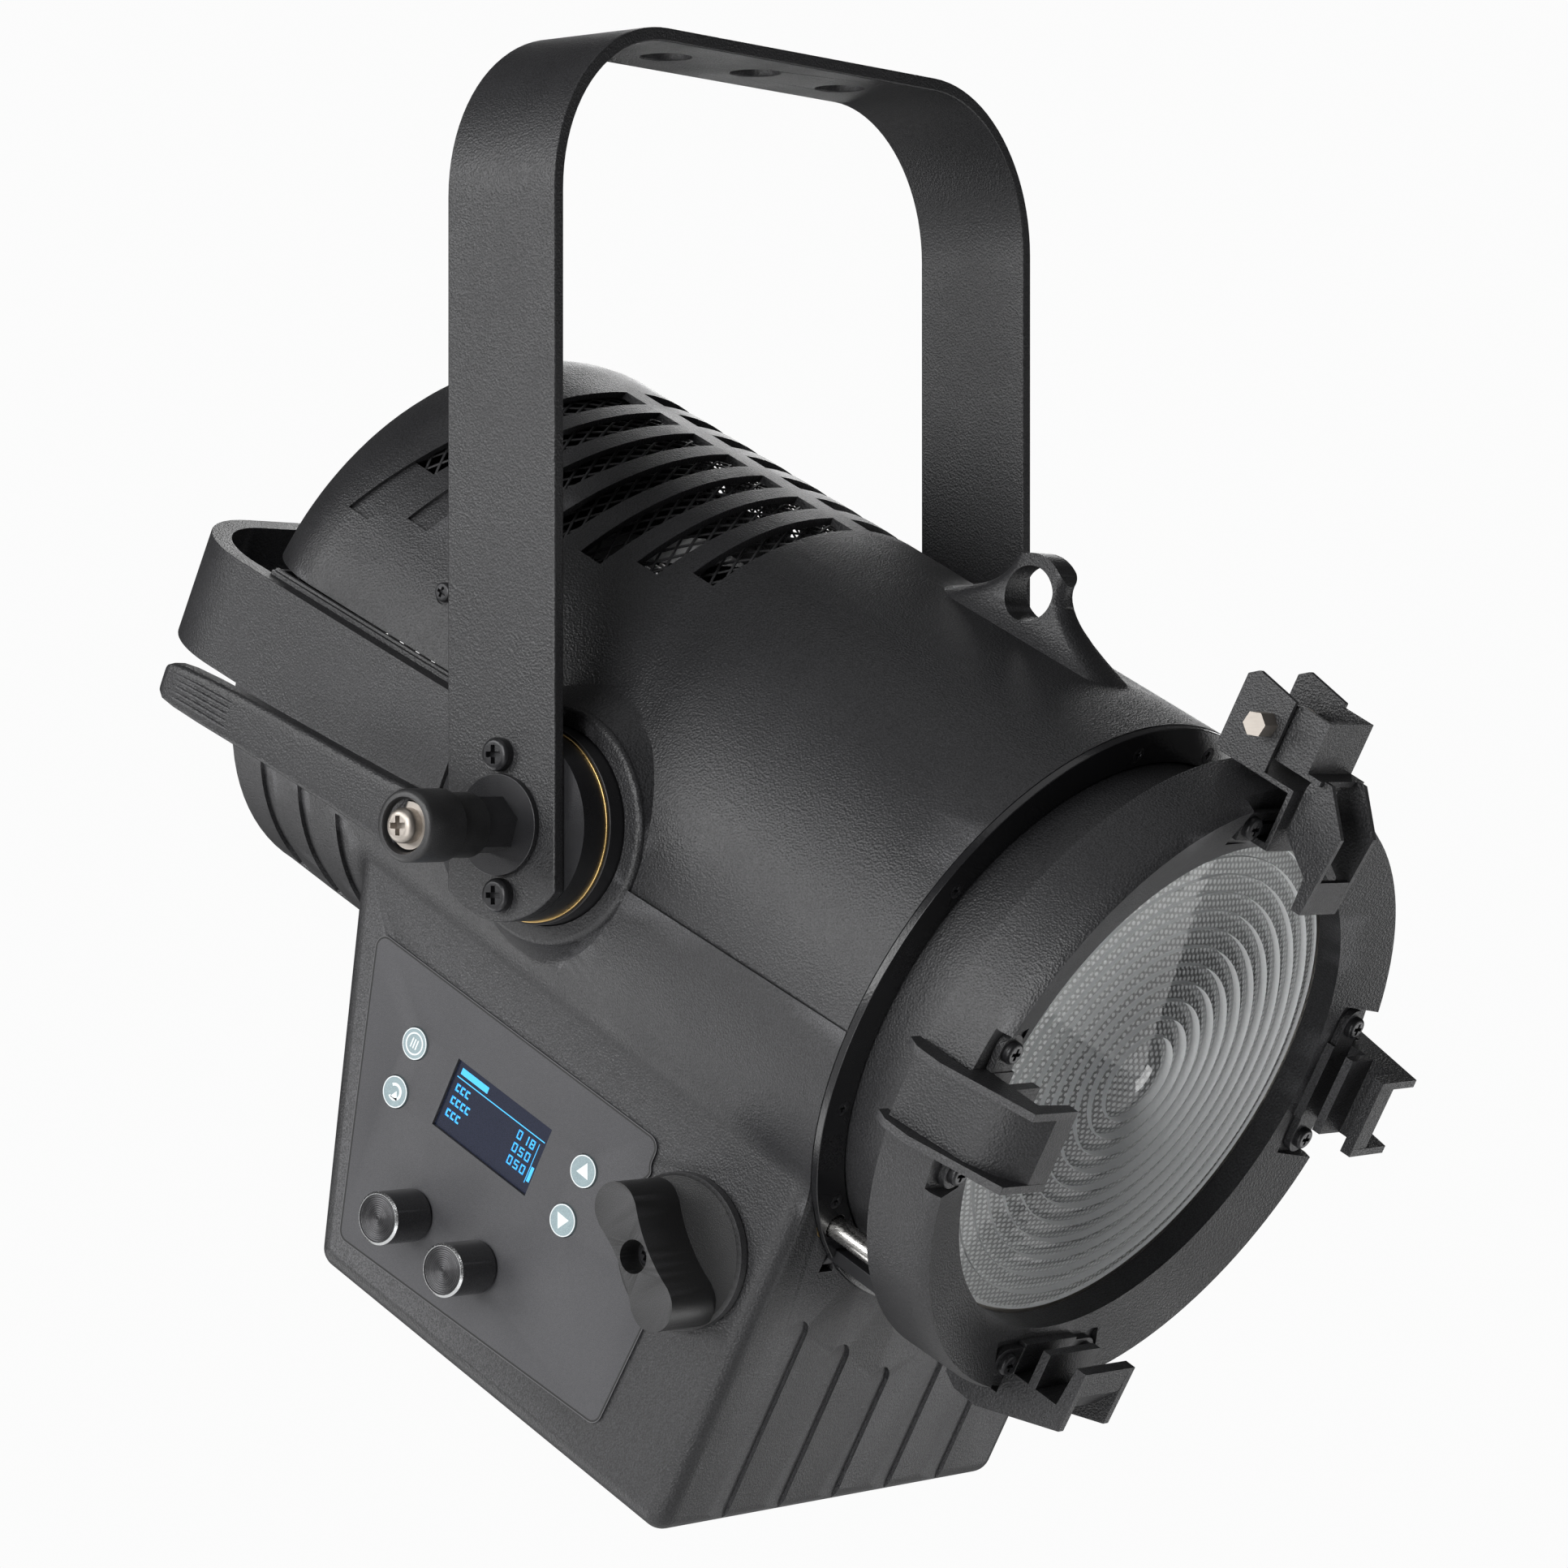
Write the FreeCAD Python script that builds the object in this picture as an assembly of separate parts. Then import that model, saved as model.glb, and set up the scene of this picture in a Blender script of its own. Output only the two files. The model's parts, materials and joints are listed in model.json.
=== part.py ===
"""LED Fresnel stage spotlight hung from a U-shaped yoke.

Frame of the finished object: +Z up, front of the lamp towards -Y, origin on the top face of the
yoke at its centre clamp hole.  The yoke hangs down from there and the head tilts about a
horizontal axis (along X) at the lower ends of the yoke's arms.

Two building frames are used, both with their origin on the tilt axis:
  arm frame   x, y, z as in the finished object
  head frame  x, a (forward along the optical axis), v (up, square to it), with the lens facing -Y
The head is built level and tipped nose-down by HEAD_TILT when it is placed.
"""
import FreeCAD, Part
import math
import os
from FreeCAD import Placement, Rotation, Vector

# ---- yoke ------------------------------------------------------------------------------------
YOKE_WIDTH = 287.0          # outside width of the U
YOKE_DROP = 285.0           # top face down to the tilt axis
BAR_WIDTH = 50.0
BAR_THICK = 5.0
BEND_R = 63.0               # outside bend radius
CLAMP_HOLE_R = 9.25
CLAMP_HOLE_PITCH = 52.3     # centre hole to each side hole
ARM_SCREW_Z = 24.7          # the two screws of each arm, above and below the tilt axis
HUB_R = 34.2                # disc inside each arm
HUB_THICK = 11.4

# ---- tilt pivot --------------------------------------------------------------------------------
STUD_R = 5.0
RUN_GAP = 0.05              # radial or axial clearance of a running fit
BRASS_R = 34.9
BRASS_THICK = 1.0
TRUNNION_R = 35.8
BOSS_R = 43.5
BOSS_FLARE_R = 62.0         # where the boss's concave skirt runs out inside the shell
BOSS_FACE = 119.0           # half distance between the two boss faces
BOSS_SEAT = 113.0           # floor of the recess in the boss face
BOSS_BACK = 103.0
TRUNNION_NECK_R = 14.8      # spigot of the trunnion through the boss

# ---- head --------------------------------------------------------------------------------------
HEAD_TILT = 28.33           # degrees nose-down at rest
AXIS_RISE = 3.0             # optical axis above the tilt axis
SHELL_FRONT_R = 118.2
SHELL_REAR_R = 113.0
SHELL_FRONT = 150.5
SHELL_REAR = -190.0
DOME_R = 42.0               # rounding of the upper shell's rear end
LOWER_REAR = -165.0
LOWER_REAR_R = 117.5
WALL = 3.0
BOX_HALF = 101.0            # half width of the control box
BOX_ROUNDING = 8.0
BOX_BLEND_R = 16.0          # concave blend between the barrel and the box's sides
BOX_BOTTOM = -206.0
BOX_FRONT = 151.0
BOX_REAR_TOP = (-92.0, -57.0)
BOX_REAR_BOTTOM = (-37.0, BOX_BOTTOM)
SLOT_COUNT = 7
SLOT_WIDTH = 10.5
SLOT_FIRST_A = -12.0
SLOT_PITCH = 18.5
SLOT_RIB_DEG = 2.6          # half angle of the spine between the two rows of louvres
SLOT_FAN = 3.5              # each louvre leans this much further back than the one in front
SLOT_END_DEG = 38.7         # lower end of the first louvre, from the crown
SLOT_END_STEP = 4.4
SLOT_OPEN_DEG = 50.5        # below this the louvres are only grooves
GROOVE_DEPTH = 1.8
LUG_HOLE = (75.0, 134.0)    # a, v of the safety hole
LUG_HOLE_R = 10.0
LUG_THICK = 12.0
LUG_CROWN_R = 14.5
SIDE_SCREW = (-92.0, 46.0)  # a, v of the screw that joins the two shells on each side
HANDLE_HALF = 123.0
HANDLE_THICK = 8.0
HANDLE_LOW = -19.5          # lower edge of the handle's band at its front end
HANDLE_HEIGHT = 42.0
HANDLE_FRONT = -48.5
HANDLE_REAR = -218.0
HANDLE_CORNER_R = 44.0
SEAM_SLOPE = 3.0            # degrees between the seam, the rear handle and the optical axis
SEAM_STEP = 27.0            # height of the seam behind the pivot
SEAM_GROOVE = (0.9, 1.6)    # width and depth of the shadow line along the seam

# ---- lens carriage -----------------------------------------------------------------------------
FLANGE_R = 118.0
FLANGE_IN_R = 104.6
FLANGE_BACK = 150.5
FLANGE_FRONT = 153.5
FLANGE_SCREW_R = 109.5      # radius of their circle
SLEEVE_R = 104.0
SLEEVE_WALL = 2.5
SLEEVE_REAR = 100.0
RING_REAR = 182.2
RING_R = 122.3
RING_FRONT = 209.7
LENS_R = 100.8
LENS_BACK = 187.0
LENS_RIM = 192.4
ROD_R = 4.0
ROD_X = 79.0
ROD_V = -76.5
ROD_REAR = 62.0
BRACKET_HALF = 15.5
BRACKET_PLATE = 3.0
EAR_S = 23.5
EAR_R = 108.0
EAR_A = 203.5
LATCH_PIN = (192.0, 143.0)
BRACKET_TURNS = {"accessory_bracket_bottom": 0, "accessory_bracket_left": 90,
                 "accessory_bracket_right": -90}
LATCH_TURN = 180

# ---- zoom drive --------------------------------------------------------------------------------
ZOOM_A = 114.5
ZOOM_V = -108.5
GEAR_MODULE = 1.5
GEAR_TEETH = 20
PITCH_R = GEAR_MODULE * GEAR_TEETH / 2
RACK_X = -69.0
RACK_HALF_WIDTH = 2.5
BACKLASH = 0.25             # taken off each flank of the rack's teeth
KNOB_DISC_R = 28.0
KNOB_SEAT = -120.0          # floor of the screw's recess in the focus knob

# ---- control panel -----------------------------------------------------------------------------
PANEL_X = -BOX_HALF
OVERLAY_THICK = 0.8
DISPLAY_A = (-9.4, 41.6)
DISPLAY_V = (-130.3, -102.6)
BUTTON_R = 6.0
BUTTON_PLACES = {"button_menu": (-30.3, -108.5), "button_back": (-30.3, -129.0),
                 "button_left": (61.6, -107.8), "button_right": (61.6, -128.3)}
ENCODER_R = 9.85
ENCODER_LENGTH = 19.0
ENCODER_PLACES = {"encoder_knob_rear": (-1.5, -164.5), "encoder_knob_front": (34.5, -164.5)}

# ---- clamp lever -------------------------------------------------------------------------------
LEVER_FACE = -194.0         # x of the barrel's outer face
LEVER_BARREL_R = 12.8
LEVER_INNER = -161.0
LEVER_LENGTH = 129.0
LEVER_RAISE = 24.0          # degrees above the horizontal, pointing to the rear
LEVER_LIFT = 5.0            # how far the lever pulls off its splines
CORE_R = 7.0                # splined core that the lever grips
CORE_END = -177.0

# ---- rear connectors and parts inside the head ---------------------------------------------------
POWER_PLACES = ((-62.0, -60.0), (-26.0, -60.0))
DATA_PLACES = ((22.0, -60.0), (56.0, -60.0))
FUSE_PLACE = (-44.0, -92.0)
FAN_BACK = -116.0
FAN_FRONT = -91.0

X_AXIS = Vector(1, 0, 0)
FORWARD = Vector(0, -1, 0)
UP = Vector(0, 0, 1)
OPTIC_POINT = Vector(0, 0, AXIS_RISE)


# ---- building blocks -----------------------------------------------------------------------------
def at(x, a, v):
    """A point of the head frame."""
    return Vector(x, -a, v)


def block(x0, x1, a0, a1, v0, v1):
    return Part.makeBox(x1 - x0, a1 - a0, v1 - v0, Vector(x0, -a1, v0))


def rod_x(r, x0, x1, a=0.0, v=0.0):
    """Cylinder along X."""
    return Part.makeCylinder(r, x1 - x0, at(x0, a, v), X_AXIS)


def rod_a(r, a0, a1, x=0.0, v=AXIS_RISE):
    """Cylinder along the optical axis."""
    return Part.makeCylinder(r, a1 - a0, at(x, a0, v), FORWARD)


def tube_a(r_out, r_in, a0, a1, x=0.0, v=AXIS_RISE):
    return rod_a(r_out, a0, a1, x, v).cut(rod_a(r_in, a0, a1, x, v))


def washer_x(r_out, r_in, x0, x1, a=0.0, v=0.0):
    return rod_x(r_out, x0, x1, a, v).cut(rod_x(r_in, x0, x1, a, v))


def plate_x(points, x0, x1):
    """Polygon of (a, v) points pushed along X."""
    corners = [at(x0, a, v) for a, v in points]
    face = Part.Face(Part.makePolygon(corners + corners[:1]))
    return face.extrude(Vector(x1 - x0, 0, 0))


def hexagon_x(r, x0, x1, a=0.0, v=0.0, turn=0.0):
    """Hexagonal bar along X; r reaches the corners."""
    angles = [math.radians(60 * k + turn) for k in range(6)]
    return plate_x([(a + r * math.cos(t), v + r * math.sin(t)) for t in angles], x0, x1)


def turned(profile):
    """Solid of revolution about the optical axis.

    profile: (a, r) points joined by straight lines; a third item makes the stretch that ends at
    that point an arc through the (a, r) given there.
    """
    def place(a, r):
        return Vector(r, -a, AXIS_RISE)

    edges = []
    for start, end in zip(profile, profile[1:] + profile[:1]):
        p = place(start[0], start[1])
        q = place(end[0], end[1])
        if len(end) == 3:
            edges.append(Part.Arc(p, place(*end[2]), q).toShape())
        elif p.distanceToPoint(q) > 1e-6:
            edges.append(Part.LineSegment(p, q).toShape())
    return Part.Face(Part.Wire(edges)).revolve(OPTIC_POINT, Vector(0, 1, 0), 360)


def fused(shapes):
    whole = shapes[0].fuse(shapes[1:]) if len(shapes) > 1 else shapes[0]
    return whole.removeSplitter()


def both_sides(shape):
    """The shape and its mirror image across the plane x = 0, as separate solids."""
    return Part.makeCompound(shape.Solids + shape.mirror(Vector(), X_AXIS).Solids)


def turned_about_axis(shape, degrees):
    """A copy turned about the optical axis; 90 moves the underside to the -X side."""
    copy = shape.copy()
    copy.rotate(OPTIC_POINT, Vector(0, 1, 0), degrees)
    return copy


def cross_recess(size, depth):
    """Phillips recess, opening at z = 0 and going down."""
    width = size * 0.3
    bar = Part.makeBox(size, width, depth, Vector(-size / 2, -width / 2, -depth))
    other = Part.makeBox(width, size, depth, Vector(-width / 2, -size / 2, -depth))
    return bar.fuse(other)


def screw(head_r, head_h, shank_r, shank_len, place, axis):
    """Pan-head screw; place is the centre of the bearing face, axis points along the shank."""
    head = Part.makeCylinder(head_r, head_h)
    rim = [edge for edge in head.Edges if edge.Closed and edge.CenterOfMass.z > head_h - 0.01]
    head = head.makeFillet(head_h * 0.45, rim)
    shank = Part.makeCylinder(shank_r, shank_len, Vector(0, 0, -shank_len))
    body = head.fuse(shank).removeSplitter()
    recess = cross_recess(head_r * 1.1, head_h * 0.6)
    recess.translate(Vector(0, 0, head_h))
    body = body.cut(recess)
    body.Placement = Placement(place, Rotation(Vector(0, 0, -1), axis))
    return body


def countersunk(head_r, shank_r, length, place, axis):
    """Countersunk screw; place is the centre of the flat head."""
    cone_h = head_r - shank_r
    cone = Part.makeCone(shank_r, head_r, cone_h, Vector(0, 0, -cone_h))
    shank = Part.makeCylinder(shank_r, length - cone_h, Vector(0, 0, -length))
    body = cone.fuse(shank).removeSplitter().cut(cross_recess(head_r * 1.1, cone_h * 0.7))
    body.Placement = Placement(place, Rotation(Vector(0, 0, -1), axis))
    return body


def coil_x(mean_r, wire_r, x0, x1, turns, a, v):
    """Coil spring along X."""
    pitch = (x1 - x0) / turns
    helix = Part.makeHelix(pitch, x1 - x0, mean_r)
    section = Part.Wire(Part.makeCircle(wire_r, Vector(mean_r, 0, 0), Vector(0, 1, 0)))
    coil = Part.Wire(helix).makePipeShell([section], True, True)
    coil.Placement = Placement(at(x0, a, v), Rotation(UP, X_AXIS))
    return coil


# ---- yoke and tilt pivot ---------------------------------------------------------------------------
def yoke_outline(inset):
    """Closed face in the XZ plane inside the outer line of the U, pulled in by inset."""
    half = YOKE_WIDTH / 2 - inset
    top = YOKE_DROP - inset
    r = BEND_R - inset
    low = -HUB_R - 1
    k = r * (1 - math.sqrt(0.5))
    y = -BAR_WIDTH / 2
    line = Part.LineSegment
    edges = [line(Vector(-half, y, low), Vector(-half, y, top - r)),
             Part.Arc(Vector(-half, y, top - r), Vector(-half + k, y, top - k),
                      Vector(-half + r, y, top)),
             line(Vector(-half + r, y, top), Vector(half - r, y, top)),
             Part.Arc(Vector(half - r, y, top), Vector(half - k, y, top - k),
                      Vector(half, y, top - r)),
             line(Vector(half, y, top - r), Vector(half, y, low)),
             line(Vector(half, y, low), Vector(-half, y, low))]
    return Part.Face(Part.Wire([edge.toShape() for edge in edges]))


def make_yoke_bar():
    depth = Vector(0, BAR_WIDTH, 0)
    bar = yoke_outline(0).extrude(depth).cut(yoke_outline(BAR_THICK).extrude(depth))
    half = YOKE_WIDTH / 2
    rounded = rod_x(HUB_R, -half, half)
    above = Part.makeBox(2 * half, 3 * BAR_WIDTH, YOKE_DROP + 1, Vector(-half, -1.5 * BAR_WIDTH, 0))
    bar = bar.common(rounded.fuse(above))
    for x in (-CLAMP_HOLE_PITCH, 0, CLAMP_HOLE_PITCH):
        foot = Vector(x, 0, YOKE_DROP - 2 * BAR_THICK)
        bar = bar.cut(Part.makeCylinder(CLAMP_HOLE_R, 3 * BAR_THICK, foot))
    return bar.cut(rod_x(STUD_R + 0.5, -half - 1, half + 1)).removeSplitter()


def arm_screws():
    """Four M6 screws that hold the hub discs to the arms."""
    half = YOKE_WIDTH / 2
    near = [screw(6.0, 4.2, 3.0, BAR_THICK + 7.0, Vector(-half, 0, z), X_AXIS)
            for z in (-ARM_SCREW_Z, ARM_SCREW_Z)]
    return both_sides(Part.makeCompound(near))


def mirrored(shape):
    return shape.mirror(Vector(), X_AXIS)


def make_hub_disc():
    """Disc between the near arm and the head, drilled for the arm's screws."""
    outer = YOKE_WIDTH / 2 - BAR_THICK
    return washer_x(HUB_R, STUD_R + 0.5, -outer, -outer + HUB_THICK).cut(arm_screws())


def make_pivot_washers():
    """Large flat washers under the lever's insert and the far bolt's head."""
    half = YOKE_WIDTH / 2
    near = washer_x(18.0, STUD_R + 0.4, -half - 2.5, -half)
    return Part.makeCompound([near, washer_x(18.0, STUD_R, half, half + 2.5)])


def make_far_bolt():
    """Hex-head bolt that carries the head on the side without the lever."""
    seat = YOKE_WIDTH / 2 + 2.5
    head = hexagon_x(9.8, seat, seat + 6.4)
    return head.fuse(rod_x(STUD_R, 100.0, seat)).removeSplitter()


def make_trunnion():
    """Disc seated in the housing's near boss; its bore runs on the stud."""
    hub_inner = YOKE_WIDTH / 2 - BAR_THICK - HUB_THICK
    face = hub_inner - RUN_GAP - BRASS_THICK
    disc = rod_x(TRUNNION_R, -face, -BOSS_SEAT).fuse(rod_x(TRUNNION_NECK_R, -BOSS_SEAT, -BOSS_BACK))
    return disc.cut(rod_x(STUD_R + RUN_GAP, -face, -90.0)).removeSplitter()


def make_friction_washers():
    hub_inner = YOKE_WIDTH / 2 - BAR_THICK - HUB_THICK
    return both_sides(washer_x(BRASS_R, 12.0, -hub_inner + RUN_GAP, -hub_inner + RUN_GAP + BRASS_THICK))


# ---- clamp lever -----------------------------------------------------------------------------------
def make_clamp_insert():
    """Steel insert: threaded stud, collar and the splined core that the lever grips."""
    washer_face = -YOKE_WIDTH / 2 - 2.5
    stud = rod_x(STUD_R, washer_face - 1, -100.0)
    collar = hexagon_x(10.4, LEVER_INNER + 0.4, washer_face, turn=12.0)
    core = rod_x(CORE_R, CORE_END, LEVER_INNER + 0.4)
    return fused([stud, collar, core]).cut(rod_x(3.0, CORE_END - 1, CORE_END + 15))


def make_clamp_screw():
    """Retaining screw with a flanged neck that holds the spring."""
    head = screw(6.2, 6.0, 3.0, 5.5, Vector(LEVER_FACE + 3.0, 0, 0), X_AXIS)
    neck = rod_x(8.3, LEVER_FACE + 3.0, LEVER_FACE + 4.2)
    shank = rod_x(3.0, LEVER_FACE + 3.0, CORE_END + 14)
    return fused([head, neck, shank])


def make_clamp_spring():
    """Drawn at its compressed length, against the screw's neck."""
    return coil_x(7.0, 0.9, LEVER_FACE + 5.15, CORE_END - LEVER_LIFT - 0.95, 2, 0, 0)


def lever_arm():
    """Tapering arm of the lever, built along +Y and then raised."""
    root, waist, tip = LEVER_BARREL_R, 9.6, 7.4
    outline = [Vector(LEVER_FACE, 0, root), Vector(LEVER_FACE, 88, waist),
               Vector(LEVER_FACE, LEVER_LENGTH - 4, tip + 1), Vector(LEVER_FACE, LEVER_LENGTH, 0),
               Vector(LEVER_FACE, LEVER_LENGTH - 3, -tip), Vector(LEVER_FACE, 88, -waist),
               Vector(LEVER_FACE, 0, -root)]
    arm = Part.Face(Part.makePolygon(outline + outline[:1])).extrude(Vector(12.0, 0, 0))
    for k in range(-2, 3):
        arm = arm.cut(Part.makeBox(1.6, 34, 1.2, Vector(LEVER_FACE - 0.8, 91, 2.6 * k - 0.6)))
    arm.rotate(Vector(), X_AXIS, LEVER_RAISE)
    return arm


def make_clamp_handle():
    wide = rod_x(LEVER_BARREL_R, LEVER_FACE, LEVER_FACE + 19.0)
    rim = [edge for edge in wide.Edges if edge.Closed and edge.CenterOfMass.x < LEVER_FACE + 1]
    wide = wide.makeFillet(1.6, rim)
    handle = wide.fuse([rod_x(LEVER_BARREL_R - 1.2, LEVER_FACE, LEVER_INNER), lever_arm()])
    handle = handle.cut(rod_x(CORE_R + 0.08, LEVER_FACE - 1, LEVER_INNER + 1))
    return handle.cut(rod_x(9.3, LEVER_FACE - 1, CORE_END)).removeSplitter()


# ---- housing ---------------------------------------------------------------------------------------
def upper_body(inset):
    """Upper shell's outline turned about the optical axis, pulled in by inset."""
    front_r = SHELL_FRONT_R - inset
    side_r = SHELL_REAR_R - inset
    rear = SHELL_REAR + inset
    dome = DOME_R - inset
    k = dome * (1 - math.sqrt(0.5))
    front = SHELL_FRONT + (1 if inset else 0)
    arc_mid = (rear + k, side_r - k)
    return turned([(front, 0), (front, front_r), (rear + dome, side_r),
                   (rear, side_r - dome, arc_mid), (rear, 0)])


def lower_body(inset):
    front_r = SHELL_FRONT_R - inset
    rear = LOWER_REAR - (1 if inset else 0)
    front = SHELL_FRONT + (1 if inset else 0)
    return turned([(front, 0), (front, front_r), (rear, LOWER_REAR_R - inset), (rear, 0)])


def above_seam():
    """Everything above the joint between the two shells; the joint steps up behind the boss."""
    slope = math.tan(math.radians(SEAM_SLOPE))
    front = [(-8, -4.0 - 8 * slope), (160, -4.0 + 160 * slope * 0.86), (160, 320), (-8, 320)]
    rear = [(-9, SEAM_STEP), (-240, SEAM_STEP - 231 * slope), (-240, 320), (-7, 320), (-7, SEAM_STEP)]
    return plate_x(front, -160, 160).fuse(plate_x(rear, -160, 160))


def seam_groove():
    """Rebate along the lower shell's edge, seen as a shadow line between the shells."""
    width, depth = SEAM_GROOVE
    lowered = above_seam()
    lowered.translate(Vector(0, 0, -width))
    return lowered.cut([lower_body(depth), boss_skirt()])


def pivot_boss():
    return both_sides(rod_x(BOSS_R, -BOSS_FACE, -BOSS_BACK))


def boss_skirt():
    """Rounded rim and concave skirt that blend each boss into the shells."""
    face, round_r, low = BOSS_FACE, 2.6, BOSS_FACE - 22.5
    k = round_r * (1 - math.sqrt(0.5))

    def place(x, r):
        return Vector(-x, -r, 0)

    edges = [Part.LineSegment(place(low, 0), place(low, BOSS_FLARE_R)),
             Part.Arc(place(low, BOSS_FLARE_R), place(low + 12.5, BOSS_R + 5.0),
                      place(face - round_r, BOSS_R)),
             Part.Arc(place(face - round_r, BOSS_R), place(face - k, BOSS_R - k),
                      place(face, BOSS_R - round_r)),
             Part.LineSegment(place(face, BOSS_R - round_r), place(face, 0)),
             Part.LineSegment(place(face, 0), place(low, 0))]
    section = Part.Face(Part.Wire([edge.toShape() for edge in edges]))
    return both_sides(section.revolve(Vector(), X_AXIS, 360))


def trunnion_seat():
    """Recess and bore in each boss for the trunnion."""
    recess = rod_x(TRUNNION_R + 0.5, -BOSS_FACE - 1, -BOSS_SEAT)
    return both_sides(recess.fuse(rod_x(TRUNNION_NECK_R, -BOSS_FACE, -BOSS_BACK + 10)))


def sector_a(deg0, deg1):
    """Wedge about the optical axis between two angles measured from straight up, +X positive."""
    far = 200.0
    mid = math.radians((deg0 + deg1) / 2)
    rim = [(far * math.sin(math.radians(d)), far * math.cos(math.radians(d))) for d in (deg0, deg1)]
    beyond = (2 * far * math.sin(mid), 2 * far * math.cos(mid))
    points = [(0, 0), rim[0], beyond, rim[1]]
    corners = [at(x, 160, v + AXIS_RISE) for x, v in points]
    return Part.Face(Part.makePolygon(corners + corners[:1])).extrude(Vector(0, 400, 0))


def louvre(k, side, deg0, deg1):
    """Stretch of the k-th louvre between two angles from the crown, on one side of the spine."""
    a = SLOT_FIRST_A - SLOT_PITCH * k
    slab = block(-130, 130, a - SLOT_WIDTH / 2, a + SLOT_WIDTH / 2, 20, 130)
    slab.rotate(at(0, a, SHELL_REAR_R + AXIS_RISE), X_AXIS, SLOT_FAN * k)
    return slab.common(sector_a(*sorted((side * deg0, side * deg1))))


def louvre_end(k):
    """Angle from the crown at which the k-th louvre ends."""
    return SLOT_END_DEG + SLOT_END_STEP * k


def louvre_slots():
    """Two rows of open slots over the crown, fanning towards the rear."""
    ends = [min(louvre_end(k), SLOT_OPEN_DEG) for k in range(SLOT_COUNT)]
    return Part.makeCompound([louvre(k, side, SLOT_RIB_DEG, end)
                              for k, end in enumerate(ends) for side in (-1, 1)])


def blind_grooves():
    """Shallow grooves that carry the rear louvres on down both sides."""
    floor = upper_body(GROOVE_DEPTH)
    grooves = [louvre(k, side, SLOT_OPEN_DEG - 0.5, louvre_end(k)).cut(floor)
               for k in range(SLOT_COUNT) for side in (-1, 1) if louvre_end(k) > SLOT_OPEN_DEG + 0.5]
    return Part.makeCompound(grooves)


def obround(a, half_length, half_width, v):
    """Closed wire in a level plane: a slot shape along the optical axis."""
    straight = half_length - half_width
    corners = [at(half_width, a + straight, v), at(0, a + half_length, v), at(-half_width, a + straight, v),
               at(-half_width, a - straight, v), at(0, a - half_length, v), at(half_width, a - straight, v)]
    edges = [Part.Arc(*corners[0:3]), Part.LineSegment(corners[2], corners[3]),
             Part.Arc(*corners[3:6]), Part.LineSegment(corners[5], corners[0])]
    return Part.Wire([edge.toShape() for edge in edges])


def safety_lug():
    """Fin on the crown for the safety bond; its foot flares into the shell all round."""
    a, v = LUG_HOLE
    half = LUG_THICK / 2
    crown = LUG_CROWN_R
    levels = [(a + 10, 64.0, 24.0, v - 27.0), (a + 9, 47.0, 13.0, v - 16.0),
              (a + 4, 28.0, half + 1.6, v - 8.0), (a, crown + 1.0, half, v + 1.0),
              (a, crown, half - 0.4, v + crown + 1.0)]
    flare = Part.makeLoft([obround(*level) for level in levels], True, False)
    keep = rod_x(crown, -40, 40, a, v).fuse(block(-40, 40, 0, 160, 90, v + 1.0))
    fin = flare.common(keep)
    return fin.cut(rod_x(LUG_HOLE_R, -LUG_THICK, LUG_THICK, a, v))


def side_screws():
    """Screws that join the two shells, one on each side behind the pivot."""
    return both_sides(screw(3.6, 2.4, 2.0, 14.0, at(-106.5, *SIDE_SCREW), X_AXIS))


def screw_wells():
    return both_sides(rod_x(4.6, -116.0, -106.5, *SIDE_SCREW).fuse(rod_x(2.0, -108.0, -92.5, *SIDE_SCREW)))


def screw_posts():
    return both_sides(rod_x(6.5, -109.0, -95.0, *SIDE_SCREW))


def make_upper_housing():
    outer = upper_body(0).fuse([safety_lug(), boss_skirt()])
    inner = upper_body(WALL).cut(pivot_boss())
    shell = outer.common(above_seam()).cut(inner)
    shell = shell.fuse(screw_posts().common(upper_body(1)))
    shell = shell.cut([louvre_slots(), blind_grooves(), screw_wells()])
    shell = shell.cut(rod_x(LUG_HOLE_R, -LUG_THICK, LUG_THICK, *LUG_HOLE))
    return shell.cut(trunnion_seat()).removeSplitter()


def box_prism(inset):
    """Control box below the barrel, with the edges of its sides rounded."""
    rear_shift = inset * 1.07
    top = -45.0
    slope = (BOX_REAR_BOTTOM[0] - BOX_REAR_TOP[0]) / (BOX_REAR_BOTTOM[1] - BOX_REAR_TOP[1])
    rear_at_top = BOX_REAR_TOP[0] + slope * (top - 10 - BOX_REAR_TOP[1])
    points = [(rear_at_top + rear_shift, top - 10), (BOX_FRONT - inset, top - 10),
              (BOX_FRONT - inset, BOX_BOTTOM + inset),
              (BOX_REAR_BOTTOM[0] + rear_shift + slope * inset, BOX_BOTTOM + inset)]
    half = BOX_HALF - inset
    prism = plate_x(points, -half, half)
    sides = [edge for edge in prism.Edges
             if abs(abs(edge.CenterOfMass.x) - half) < 1e-3 and edge.CenterOfMass.z < top - 11]
    low = [edge for edge in prism.Edges
           if abs(edge.CenterOfMass.x) < 1e-3 and edge.CenterOfMass.z < BOX_BOTTOM + inset + 1]
    return prism.makeFillet(BOX_ROUNDING, sides + low)


def blended_box():
    """Barrel and control box as one solid, with a concave blend along the box's sides."""
    body = lower_body(0).fuse(box_prism(0)).removeSplitter()
    low, high = -75.0, -40.0
    joins = [edge for edge in body.Edges
             if abs(abs(edge.CenterOfMass.x) - BOX_HALF) < 1.5 and low < edge.CenterOfMass.z < high
             and edge.Length > 60]
    return body.makeFillet(BOX_BLEND_R, joins)


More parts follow.
